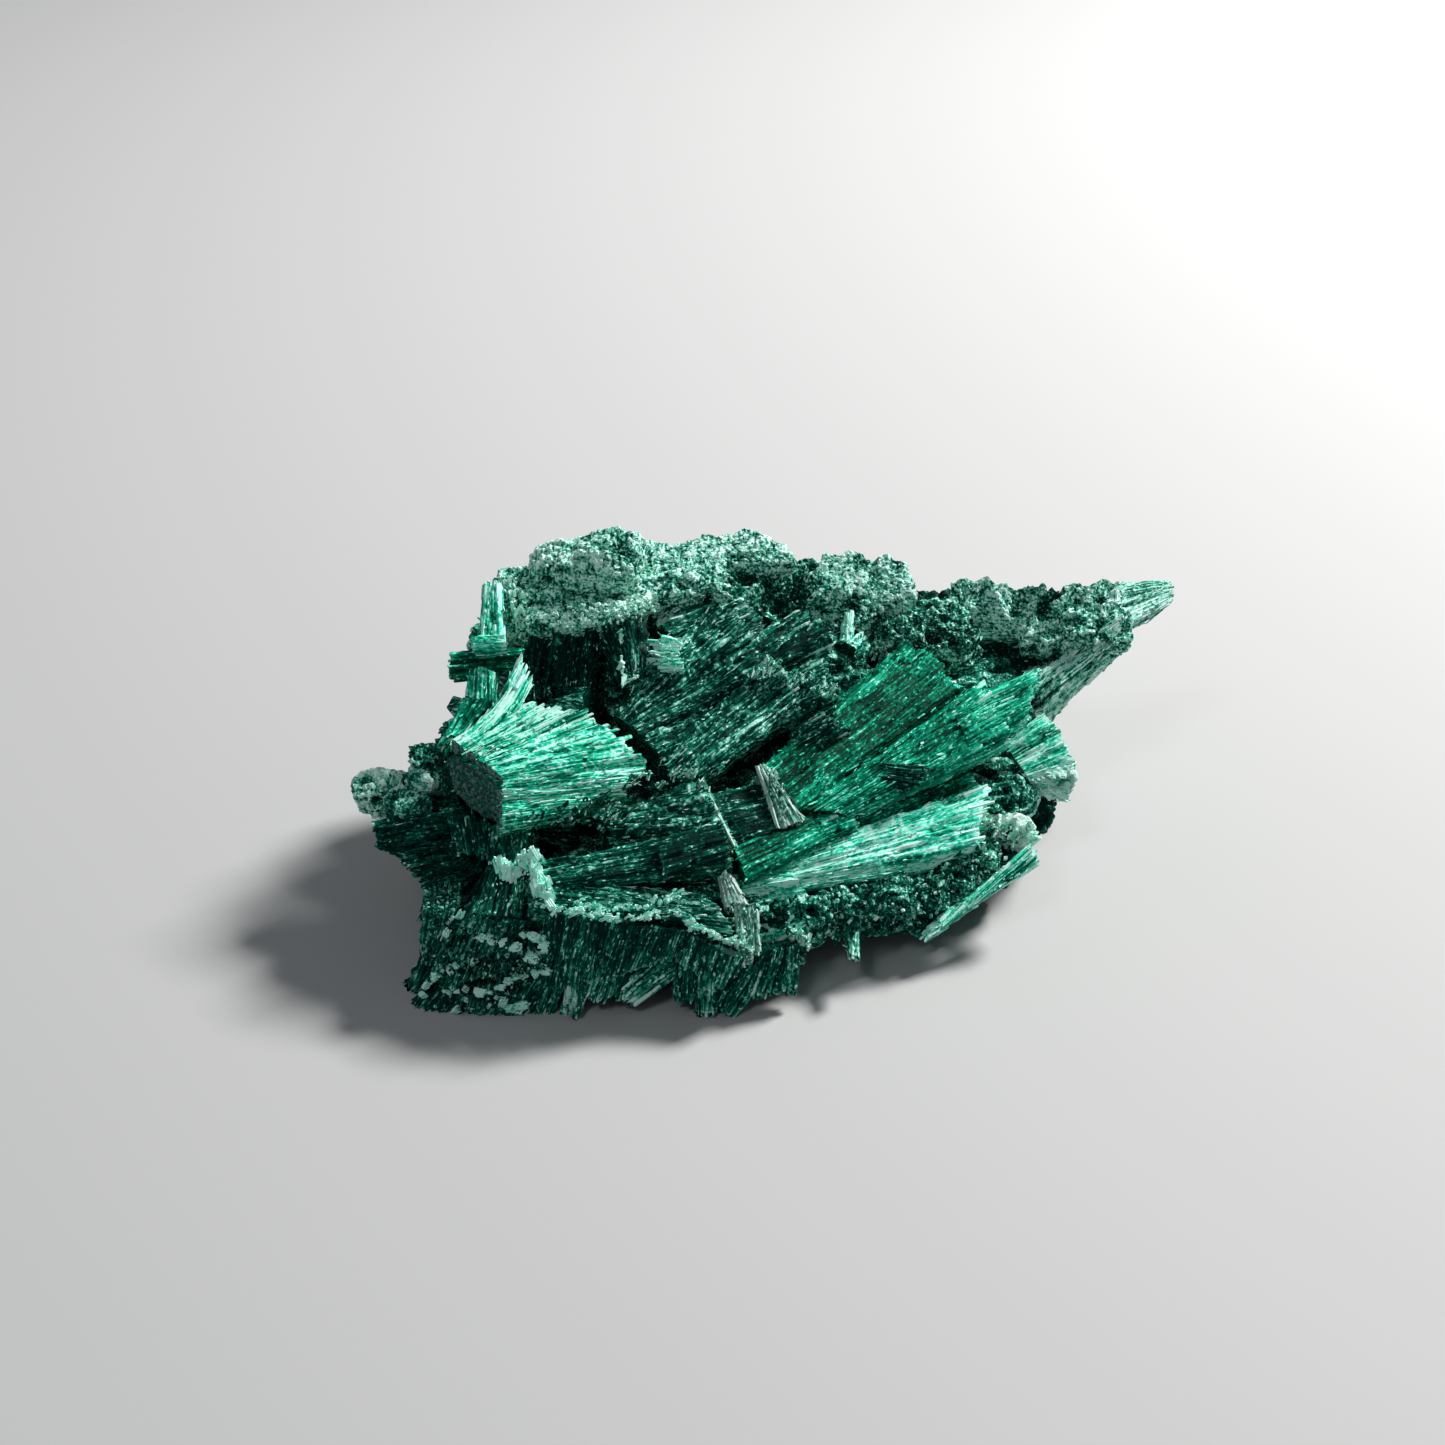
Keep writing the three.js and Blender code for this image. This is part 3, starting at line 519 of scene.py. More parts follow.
silky = [
    (0.0, (0.0, 0.022, 0.013)),
    (0.2, (0.0, 0.07, 0.038)),
    (0.4, (0.0, 0.19, 0.105)),
    (0.55, (0.003, 0.37, 0.215)),
    (0.7, (0.014, 0.58, 0.38)),
    (0.85, (0.11, 0.85, 0.63)),
    (1.0, (0.6, 1.0, 0.9)),
]
fan_fibres = mineral("fan_fibres", 0.23, silky, 1.4)
bright_fan = [
    *bundle(((-24.5, -7, 14.6), (0.58, -0.53, -0.15), (-0.08, -0.38, 1.03)),
            ((-20, 0, 18.1), (0.6, -0.77, -0.4), (0.04, -0.25, 0.54)),
            1, (0, 1.8), relief=0.35, pale=0.1, bow=(0.4, -0.7, -0.4)),
    *bundle(((-23.5, -7.8, 14.2), (0.73, -0.58, -0.2), (0.04, -0.34, 1.15)),
            ((-17.5, -2.9, 15.9), (2.4, 0.04, -0.65), (0.19, -0.41, 0.66)),
            2, (0, 2.2), relief=0.4),
    *bundle(((-22, -9.2, 13.6), (1.12, -0.88, -0.35), (0.16, -0.3, 1.26)),
            ((-12.7, -4.1, 14.1), (2.53, -1.49, -1), (0.16, -0.3, 0.84)),
            3, (0, 2.4), relief=0.4, pale=0.05),
    *bundle(((-21.2, -10.1, 12.9), (0.04, -0.59, -0.55), (0.33, -0.77, 0.86)),
            ((-11.3, -7, 12.4), (-0.81, -1.29, -0.4), (0.18, -0.36, 0.81)),
            4, (0, 1.8), relief=0.45),
    *bundle(((-21.1, -11.7, 11.6), (0.05, -1.01, -0.5), (0.26, -0.51, 1.06)),
            ((-14.6, -9.2, 11.6), (-1.5, -1.27, -0.5), (0.25, -0.56, 0.66)),
            5, (0, 2), relief=0.5, pale=-0.1),
    *bundle(((-23, -9.3, 12.7), (2.2, -1.6, -0.4), (-0.35, 0.7, 1.7)),
            ((-14.5, -4.6, 11.4), (2.6, -2.4, -0.9), (0.2, 0.5, 1.8)),
            6, (0, None), relief=0.3, pale=-0.3, splinters=0.3, cap=0.12),
]
grow("bright_fan", bright_fan, fan_fibres)

# Middle bundles.
# Broken bundles of coarser fibres, darker than the fan and painted darker still as shade, that
# rise side by side to the crust. Their right ends are ragged and pale, and one stands proud as a whitish
# ridge.
CRUMB_MM = 0.8  # how far off the solid the middle of a crumb can be


def settle(points):
    """Points outside the solid and further off than a crumb can be, brought back to that distance."""
    held = points.copy()
    for i, point in enumerate(points):
        near, normal, _, gap = cad_tree.find_nearest(Vector(point / 1000))
        if gap * 1000 > CRUMB_MM and (Vector(point / 1000) - near).dot(normal) > 0:
            held[i] = np.array(near) * 1000 + (point - np.array(near) * 1000) * CRUMB_MM / (gap * 1000)
    return held


def strewn(path, share, scattered, spread):
    """Places along a path, share legs from its start, and up to spread to each side."""
    leg = np.floor(share).astype(int)
    return path[leg] + (path[leg + 1] - path[leg]) * (share - leg)[:, None] + scattered * 2 * spread


def ridge(path, amount, size, lean, seed, pale=0.35, spread=0.5):
    """Blunt crumbs of broken fibre along a path, each of which leans one way, give or take.

    A crumb is a splinter from base - reach to base + reach, with the reach along its lean."""
    path, number = np.array(path, float), np.arange(amount)
    share = chance(seed, 1, number) * (len(path) - 1)
    scattered = np.stack([chance(seed, 2 + k, number) for k in range(6)], axis=1) - 0.5
    base = settle(strewn(path, share, scattered[:, :3], spread))
    way = unit(np.array(lean, float) + scattered[:, 3:] * 1.1)
    size = size * (0.35 + 0.9 * chance(seed, 7, number) ** 2)
    reach = way * (size * (0.4 + 0.5 * chance(seed, 8, number)))[:, None]
    half = size * (0.25 + 0.3 * chance(seed, 9, number))
    side = np.roll(way, 1, axis=1)
    tone = 0.1 + chance(seed, 10, number) ** 1.5 + pale
    tip_half = half * (0.6 + 0.35 * chance(seed, 11, number))
    return prisms(base - reach, base + reach, side, half, tip_half, tone, 0.5, 0, seed)


# A greyer, darker ramp for the fibres that turn from the key lamp. Its darkness is partly painted shade,
# darker than these fibres are under any lamp.
dull_and_shaded = [
    (0.0, (0.0, 0.014, 0.011)),
    (0.22, (0.0, 0.038, 0.027)),
    (0.42, (0.002, 0.1, 0.066)),
    (0.58, (0.01, 0.21, 0.14)),
    (0.74, (0.07, 0.42, 0.31)),
    (0.87, (0.24, 0.66, 0.53)),
    (1.0, (0.6, 0.9, 0.81)),
]
middle_fibres = mineral("middle_fibres", -0.19, dull_and_shaded, 1.5, 1.1)
middle_bundles = [
    *bundle(((-12.5, -0.3, 12.9), (0.62, -0.65, -0.15), (-0.27, -0.62, 1.56)),
            ((-3.5, 8.6, 18.2), (1.36, -2.22, -0.8), (-0.18, -0.6, 1.36)),
            11, (None, 1.4), relief=0.6),
    *bundle(((-8.8, 6.8, 16.6), (1.45, -1.41, -0.7), (-0.05, -0.71, 1.32)),
            ((-2.7, 9.6, 18.3), (1, -2.07, -0.9), (-0.1, -0.64, 1.35)),
            10, (None, 1.2), relief=0.7, splinters=2, pale=0.1),
    *bundle(((-11.5, -1.5, 12.5), (0.65, -0.71, -0.15), (-0.15, -0.48, 1.62)),
            ((2.6, 9.1, 17.3), (1.54, -1.21, -1), (0.18, -0.8, 1.25)),
            12, (None, 1.6), relief=0.6),
    *bundle(((-10.1, -3.1, 11.9), (1.1, -1.3, -0.5), (0.01, -0.6, 1.59)),
            ((3.9, 4.9, 15), (0.58, -1.82, -0.8), (0.05, -0.59, 1.38)),
            13, (None, 1.8), relief=0.7),
    *bundle(((-8.4, -5.3, 11.4), (1.39, -1.35, -0.7), (0.03, -0.66, 1.34)),
            ((-0.1, 2.9, 15.3), (1.64, -0.93, -1.05), (0.28, -0.86, 1.2)),
            14, (None, 1.4), relief=0.6, pale=0.05),
    *bundle(((1.3, -0.4, 11.7), (-0.28, -1.66, -0.4), (-0.78, -0.18, 1.27)),
            ((4.5, 0.4, 13.9), (0.19, -1.08, -0.5), (-0.66, -0.66, 1.17)),
            15, (None, 1.4), relief=0.5),
    *bundle(((-13.2, -10.6, 9.6), (0.11, -2.03, -0.7), (0.31, -0.56, 1.68)),
            ((-5.6, -7.7, 9.3), (1.31, -2.58, -1.65), (0.36, -0.76, 1.48)),
            16, (None, 1), relief=1.1, splinters=2),
    *bundle(((-5, -8.2, 8.9), (0.93, -2.24, -1.2), (0.16, -0.65, 1.34)),
            ((0.1, -6.1, 9.3), (1.08, -2.27, -0.9), (0.09, -0.51, 1.41)),
            17, (0, None), relief=0.3, pale=-0.2),
    *bundle(((-9, -14.3, 9.9), (0.19, -1.08, -0.65), (0.07, -0.19, 0.34)),
            ((-4.2, -12, 10.3), (0.33, -0.86, -0.7), (0.08, -0.23, 0.32)),
            35, (0.2, 0.2), relief=0.08, pale=-0.75, splinters=0, pitch=0.5),
    *bundle(((8.1, -3.8, 11.7), (0.11, -0.8, -0.55), (0.02, -0.22, 0.33)),
            ((10.3, -4, 11.5), (-0.87, -0.99, -0.6), (0.02, -0.22, 0.33)),
            36, (0.4, 0.6), relief=0.1, pale=-0.35, splinters=1, pitch=0.33),
    ridge([(-2.7, 1.5, 17.2), (-0.7, 2.6, 17.8), (1.7, 2.4, 17), (3.7, 1.7, 15.8)],
          200, 0.5, (0.6, 0.5, 0.35), 18, pale=0.35, spread=0.6),
    ridge([(-12.7, -8.2, 12.6), (-10.1, -7.1, 13), (-6.5, -6.1, 12.8)],
          110, 0.42, (0.7, 0.3, 0.3), 19, pale=0.45, spread=0.35),
    ridge([(-18.8, -12.3, 11.6), (-13, -10.1, 12.2), (-12.9, -11.3, 11.6)],
          140, 0.42, (0.7, 0.2, 0.4), 20, pale=0, spread=0.9),
]
grow("middle_bundles", middle_bundles, middle_fibres)

# Twin leaves.
# Two flat blades of straight parallel fibres, side by side, that split along the fibres.
# Thin pale cracks cross them and their far ends are blunt and ragged.
leaf_fibres = mineral("leaf_fibres", -0.03, silky, 0.9)
twin_leaves = [
    *bundle(((-0.4, -5, 10.1), (1.67, -1.69, -0.85), (0.16, -0.63, 1.57)),
            ((12.2, 8.1, 14.5), (2.09, -2.52, -1.1), (0.09, -0.46, 1.21)),
            21, (0, 1.6), relief=0.24, pitch=0.32, pale=-0.3, cap=0.95),
    *bundle(((3.3, -6.4, 8.8), (1.91, -0.18, -0.1), (0.01, -0.72, 1.54)),
            ((17, 2.9, 13.5), (0.96, -2.39, -1.3), (0.05, -0.6, 1.15)),
            22, (None, 1.2), relief=0.26, pitch=0.32, pale=0.03),
    *bundle(((13.8, 1.2, 12.5), (0.89, -1.82, -1.1), (0.12, -0.73, 1.3)),
            ((20, 4.6, 14.2), (-0.62, -2.33, -1), (0.01, -0.48, 1.1)),
            23, (None, 1), relief=0.26, pitch=0.32, pale=0.05),
    *bundle(((4.3, -6.5, 8), (0.59, -0.05, -0.4), (0.46, -0.91, 0.81)),
            ((14.6, -0.3, 9.2), (0.79, -0.49, -0.6), (0.32, -0.74, 1.02)),
            24, (None, 1.2), relief=0.35, pale=-0.3),
    *bundle(((-3.4, -11.6, 7.6), (0.59, -1.34, -0.8), (0.29, -0.66, 1.32)),
            ((5, -5.9, 8.6), (1.07, -0.87, -0.55), (0.23, -0.58, 1.36)),
            25, (None, 0.8), relief=0.4, pale=-0.1),
]
grow("twin_leaves", twin_leaves, leaf_fibres)

# Split faces.
# Thin plates where a bundle split across its fibres. They are grey-green and partly bare,
# still grown to the bundle behind, with crumbs of fibre over them.
pale_face = mineral("pale_face", 0.3, dull_and_shaded, 0.5)
split_faces = [
    ridge([(-4.5, -12.3, 8.2), (-3.3, -15.3, 6.9)],
          70, 0.42, (0.3, -0.5, 0.6), 38, pale=0.3, spread=0.45),
    ridge([(-3, -15.2, 6.9), (-2.5, -18.3, 4.5)],
          90, 0.42, (0.3, -0.5, 0.6), 39, pale=0, spread=0.6),
    ridge([(-1.2, -4.4, 12.7), (0.6, -8.4, 9.9)],
          80, 0.4, (0.3, -0.5, 0.6), 40, pale=0.1, spread=0.4),
    *bundle(((-6.7, -5.3, 12.1), (0.34, 0.14, 0.15), (-0.06, -0.21, 0.33)),
            ((-3.6, -11.2, 8.9), (0.33, 0.13, 0.15), (-0.07, -0.21, 0.33)),
            31, (0.8, 0.8), relief=0.7, pale=-0.15, splinters=2, bare=0.4),
    *bundle(((-1.6, -4.5, 12.4), (0.31, 0.16, 0.05), (0.05, -0.21, 0.34)),
            ((0.6, -8.3, 9.7), (1.1, 0.45, 0.2), (0.03, -0.22, 0.33)),
            32, (0.6, 0.6), relief=0.5, bare=0.5, splinters=3, pale=-0.1),
    *bundle(((-4.4, -12.2, 8), (0.38, -0.12, 0), (-0.06, -0.18, 0.35)),
            ((-3.3, -15.2, 6.7), (0.85, 0.21, 0.15), (-0.02, -0.17, 0.36)),
            33, (0.3, 0.8), relief=0.3, bare=0.8, splinters=1, pale=0.4),
    *bundle(((-2.6, -15, 6.7), (0.85, -0.35, 0), (-0.11, -0.26, 0.35)),
            ((-2.2, -18.3, 4.3), (0.69, 0.62, 0.3), (0.07, -0.25, 0.37)),
            34, (0.6, 1), relief=0.6, bare=0.35, splinters=3, pale=-0.15),
]
grow("split_faces", split_faces, pale_face)

# Silky fan.
# The brightest bundle, of very fine fibres that spread from one root at the front to a
# feathered right edge. Rough knobs of the heart show under it, painted dark partly as the shade under the
# fan.
def crumble(points, outward, grit, seed, size=0.42):
    """Points pushed in and out by broken grains, with their tones and how near a grain's top each is.

    The push is grit (2.2 n + 1.6 (l - 0.5) + 0.8 (0.4 - g) - 2.4 p): n is smooth noise, l the one level
    of the nearest grain, g the distance to its middle over size, and p how deep a pit is."""
    scaled = points / size
    nearest, level = np.full(len(points), 9.0), np.zeros(len(points))
    for step in np.ndindex(3, 3, 3):
        corner = np.floor(scaled).astype(np.int64) + np.array(step) - 1
        spot = corner + np.stack([chance(seed, k, *corner.T) for k in range(3)], axis=1)
        gap = np.linalg.norm(scaled - spot, axis=1)
        closer = gap < nearest
        nearest = np.where(closer, gap, nearest)
        level = np.where(closer, chance(seed, 3, *corner.T), level)
    bumps = swell(points, 2.2, seed + 1) + 0.6 * swell(points, 0.9, seed + 8) - 0.8
    pit = np.clip((swell(points, 1.2, seed + 2) - 0.66) * 7, 0, 1)
    push = grit * (2.2 * bumps + 1.6 * (level - 0.5) + 0.8 * (0.4 - nearest) - 2.4 * pit)
    # The tone is painted darker in the pits and paler on the swells, as shade and light; each grain's level
    # is its own random tone.
    tone = 0.05 + 0.8 * level + 0.5 * bumps - 0.8 * pit
    tip = np.clip(0.9 * level - 0.6 * nearest - pit, 0, 1)
    return points + outward * push[:, None], tone, tip


def lump(centre, radii, seed, cell=0.28, grit=0.3, pale=0.0, phase=0, bare=0.0):
    """Closed surface of a rough lump: a cube grid blown up to a squared ball, then crumbled.

    A point is centre + radii d (|x|^3 + |y|^3 + |z|^3)^(-1/3) (1 + w), where d = (x, y, z) is its
    direction and w the mean of three slow waves of height 0.14 that phase shifts."""
    centre, radii = np.array(centre, float), np.array(radii, float)
    n = max(6, round(radii.max() * 1.7 / cell))
    lattice = np.tan(np.linspace(-1, 1, n + 1) * math.pi / 4)
    u, v = np.meshgrid(lattice, lattice, indexing="ij")
    here = (np.arange(n)[:, None] * (n + 1) + np.arange(n)).ravel()
    quads = np.stack([here, here + n + 1, here + n + 2, here + 1], axis=1)
    sides, faces = [], []
    for axis in range(3):
        for sign in (1, -1):
            side = np.zeros((n + 1, n + 1, 3))
            side[..., axis] = sign
            side[..., (axis + 1) % 3] = u
            side[..., (axis + 2) % 3] = v
            faces.append((quads if sign > 0 else quads[:, ::-1]) + len(sides) * (n + 1) ** 2)
            sides.append(side.reshape(-1, 3))
    way = unit(np.concatenate(sides))
    keys = np.round(way * 1e5).astype(np.int64)
    _, first, same = np.unique(keys, axis=0, return_index=True, return_inverse=True)
    way, faces = way[first], same.ravel()[np.concatenate(faces)]
    waves = [np.sin(rate * way[:, k] + phase * (k + 1)) for k, rate in enumerate((3.1, 4.3, 3.7))]
    slow = sum(waves) * 0.14 / 3
    swollen = way * (np.sum(np.abs(way) ** 3, axis=1) ** (-1 / 3) * (1 + slow))[:, None]
    points = centre + swollen * radii
    outward = unit(np.sign(way) * way**2 / radii + way * 0.15 / radii)
    points, tone, tip = crumble(points, outward, grit, seed)
    return surface(points, faces, tone + pale, tip, bare, points * (0.8, 2, 5), ROUGH)


silk_fibres = mineral("silk_fibres", 0.36, silky, 1.15)
silky_fan = [
    *bundle(((-3, -11.8, 6.9), (-0.1, -0.5, -0.3), (0.21, -0.53, 0.82)),
            ((15.8, -2.1, 8), (0.22, -1.31, -0.7), (0.19, -0.53, 1.06)),
            41, (None, 2), relief=0.35, pitch=0.32, pale=-0.05),
    *bundle(((-3.2, -12.4, 6.5), (-0.06, -0.42, -0.35), (0.26, -0.64, 0.72)),
            ((15.7, -4.2, 6.7), (-0.09, -1.49, -0.9), (0.24, -0.62, 1)),
            42, (None, 2.2), relief=0.4, pitch=0.32),
    *bundle(((-3.3, -12.8, 6), (-0.06, -0.43, -0.25), (0.22, -0.51, 0.83)),
            ((13.6, -5.8, 5.8), (-1.97, -1.28, -0.8), (0.39, -0.97, 0.59)),
            43, (None, 2.2), relief=0.45, pitch=0.32, pale=-0.1),
    *bundle(((-3.1, -13.3, 4.3), (1.31, -2.43, -2), (0.11, -0.92, 1.18)),
            ((2.1, -11.7, 5.1), (1.55, -1.38, -1.6), (0.16, -1.05, 1.06)),
            44, (1, None), relief=0.5, pale=-0.15),
]
grow("silky_fan", silky_fan, silk_fibres)
knobbly = mineral("knobbly", -0.05, dull_and_shaded, 0.9, 0.8)
under_rows = [
    (-1.1, -14.9, 5), (1.9, -14.1, 4.8), (4.9, -13, 4.8), (7.6, -12, 4.4), (10.8, -10.9, 4.2),
    (13.1, -8.9, 4.8), (15.6, -6.2, 5.4), (17.7, -3.7, 6.4),
]
under_fan = [
    lump((-0.7, -13.7, 4.6), (1.6, 1.2, 1.5), 51),
    lump((1.9, -12.7, 4.2), (2.2, 1.6, 2), 52),
    lump((5, -11.2, 4), (2.2, 1.8, 2), 53),
    lump((7.8, -10.1, 3.6), (2.2, 1.8, 2), 54),
    lump((10.5, -9.4, 3.4), (2.2, 1.8, 2), 55),
    lump((12.9, -7.4, 4), (2.2, 1.8, 2), 56),
    lump((15.4, -4.9, 4.8), (1.8, 1.6, 1.6), 57),
    lump((17.8, -2.8, 5.8), (1.9, 1.4, 1.2), 58, pale=0.9, bare=0.7),
    ridge([(0.6, -16.1, 5), (1.7, -15.7, 5.2), (3, -16.4, 4.6)],
          60, 0.5, (0, -0.5, 0.6), 59, pale=0.5),
    ridge(under_rows, 430, 0.5, (0.2, -0.4, 0.4), 60, pale=-0.5, spread=1.5),
    ridge(under_rows, 150, 0.45, (0.2, -0.4, 0.4), 67, pale=0.65, spread=1.4),
    # Painted shade: a dark lump in the hollow behind the right end of the fan.
    lump((16.8, -3.4, 3.6), (2.2, 1.8, 2), 68, pale=-0.6),
    ridge([(16.3, -3.4, 7.4), (18.1, -3.8, 6.8), (19.6, -4.1, 7.2), (19.8, -4.7, 7)],
          90, 0.6, (0.4, -0.2, 0.6), 64, pale=0.9, spread=0.5),
]
grow("under_fan", under_fan, knobbly)

# Right block and fin.
# A short bright bundle with a grey granular end stands at the right, and a thin bright
# blade hangs below it. Both are broken bundles of the same fibres as the silky fan.
right_block = [
    *bundle(((19, 3.7, 8.1), (1.03, -1.55, -1.1), (-0.02, -0.99, 1.38)),
            ((22.7, 5.3, 9.5), (1.24, -2.16, -1.55), (-0.02, -0.88, 1.21)),
            61, (0, 1), relief=0.35, pale=-0.05),
    *bundle(((19.8, 2.7, 7.8), (0.49, -0.24, -0.4), (0.04, -1.09, 0.7)),
            ((23.5, 2.5, 7.6), (-0.29, -1.3, -1), (0.01, -0.73, 0.95)),
            62, (0.5, 0.8), relief=0.6, bare=0.3, pale=0.3, splinters=3, lift=0.4),
    lump((22.3, 2.2, 8.1), (1.5, 1.2, 1.1), 65, cell=0.2, grit=0.18, pale=0.3, bare=0.6),
    lump((21.5, 2.1, 7.6), (1.3, 1.1, 0.9), 66, cell=0.2, grit=0.18, pale=0.3, bare=0.6),
    *bundle(((19.6, -6.3, 6.2), (0.37, -0.56, -0.5), (0.05, -0.58, 0.69)),
            ((11.6, -12.1, 2.9), (-0.75, -0.5, -0.6), (0.31, -0.38, -0.07)),
            63, (0.8, 1.2), relief=0.3, pale=-0.05),
]
grow("right_block", right_block, silk_fibres)

# Long front bundle and rim.
# A long smooth bundle lies along the front. Its lower edge is a crumbled whitish rim, and
# its left end is buried in white crumbs.
# Darker than the fibres themselves: the low shift is partly painted shade, for the front faces turned from
# the key lamp.
front_fibres = mineral("front_fibres", -0.18, dull_and_shaded, 1.2, 0.8)
long_bundle = [
    *bundle(((-18.1, -15.7, 8.2), (0.17, -1.33, -0.6), (0.28, -0.78, 1.82)),
            ((-4.5, -10.7, 8.3), (0.46, -1.51, -1.1), (0.38, -1.08, 1.64)),
            71, (0.8, 0.4), relief=0.25, pitch=0.3, pale=-0.12),
    *bundle(((-18.4, -16.3, 7.7), (0.42, -1.66, -0.5), (0.21, -0.38, 1.44)),
            ((-4.9, -15.6, 5.9), (1.33, -1.19, -0.7), (0.21, -0.57, 1.37)),
            72, (0.8, 0.8), relief=0.6, pale=0.15, splinters=2),
]
grow("long_bundle", long_bundle, front_fibres)


def tufts(path, amount, size, lean, seed, pale=0.2, spread=0.2):
    """Clumps of nine short fibres along a path, each of which stands out one way, give or take.

    A fibre is a splinter of its own length through its place in a three by three grid round the base."""
    path, number = np.array(path, float), np.arange(amount * 9)
    clump = number // 9
    share = (clump + 0.2 + 0.6 * chance(seed, 1, clump)) / amount * (len(path) - 1)
    scattered = np.stack([chance(seed, 2 + k, clump) for k in range(6)], axis=1) - 0.5
    base = strewn(path, share, scattered[:, :3], spread)
    along = unit(np.array(lean, float) + scattered[:, 3:] * 0.9)
    side = unit(np.cross(along, (0.3, 0.9, 0.3)))
    wide = size * (0.5 + 0.9 * chance(seed, 8, clump))
    place_x, place_y = (number % 3 - 1) * wide * 0.3, (number // 3 % 3 - 1) * wide * 0.3
    base = base + side * place_x[:, None] + np.cross(along, side) * place_y[:, None]
    reach = along * (wide * (0.35 + 0.45 * chance(seed, 9, number)))[:, None]
    half = wide * (0.17 + 0.08 * chance(seed, 12, number))
    tone = 0.1 + 0.6 * chance(seed, 10, number) + 0.6 * chance(seed, 11, clump) + pale
    return prisms(base - reach, base + reach, side, half, half * 0.8, tone, 0.5, 0, seed)


white_corner = [
    (-21.1, -15.2, 9.6), (-19.8, -15.6, 9.8), (-18.5, -15.3, 10.9), (-17.7, -16.8, 10),
    (-17.2, -18.1, 8.9),
]
front_rim = [
    (-17.2, -18.6, 8.9), (-15.4, -19.2, 8.7), (-12.8, -19.1, 8.1), (-10, -18.1, 7.6),
    (-7.3, -16.8, 7.2), (-6.3, -17.8, 6.6), (-4.6, -18.1, 6), (-2.8, -17.8, 5.2),
]
rim_crumbs = [
    tufts(white_corner, 22, 0.75, (-0.2, 0.1, 0.9), 76, pale=0.4, spread=0.4),
    ridge(white_corner, 110, 0.4, (-0.2, 0.1, 0.9), 73, pale=0.2, spread=0.6),
    tufts(front_rim, 40, 0.42, (0.7, -0.4, 0.3), 77, pale=0.2, spread=0.2),
    ridge(front_rim, 150, 0.34, (0.7, -0.4, 0.3), 74, pale=0, spread=0.3),
    ridge([(-15.4, -18.2, 9), (-12.7, -18.6, 8.5), (-10, -17.5, 8.4), (-7.1, -15.9, 8.4)],
          120, 0.36, (0.7, -0.2, 0.4), 75, pale=0, spread=0.35),
]
grow("rim_crumbs", rim_crumbs, silk_fibres)

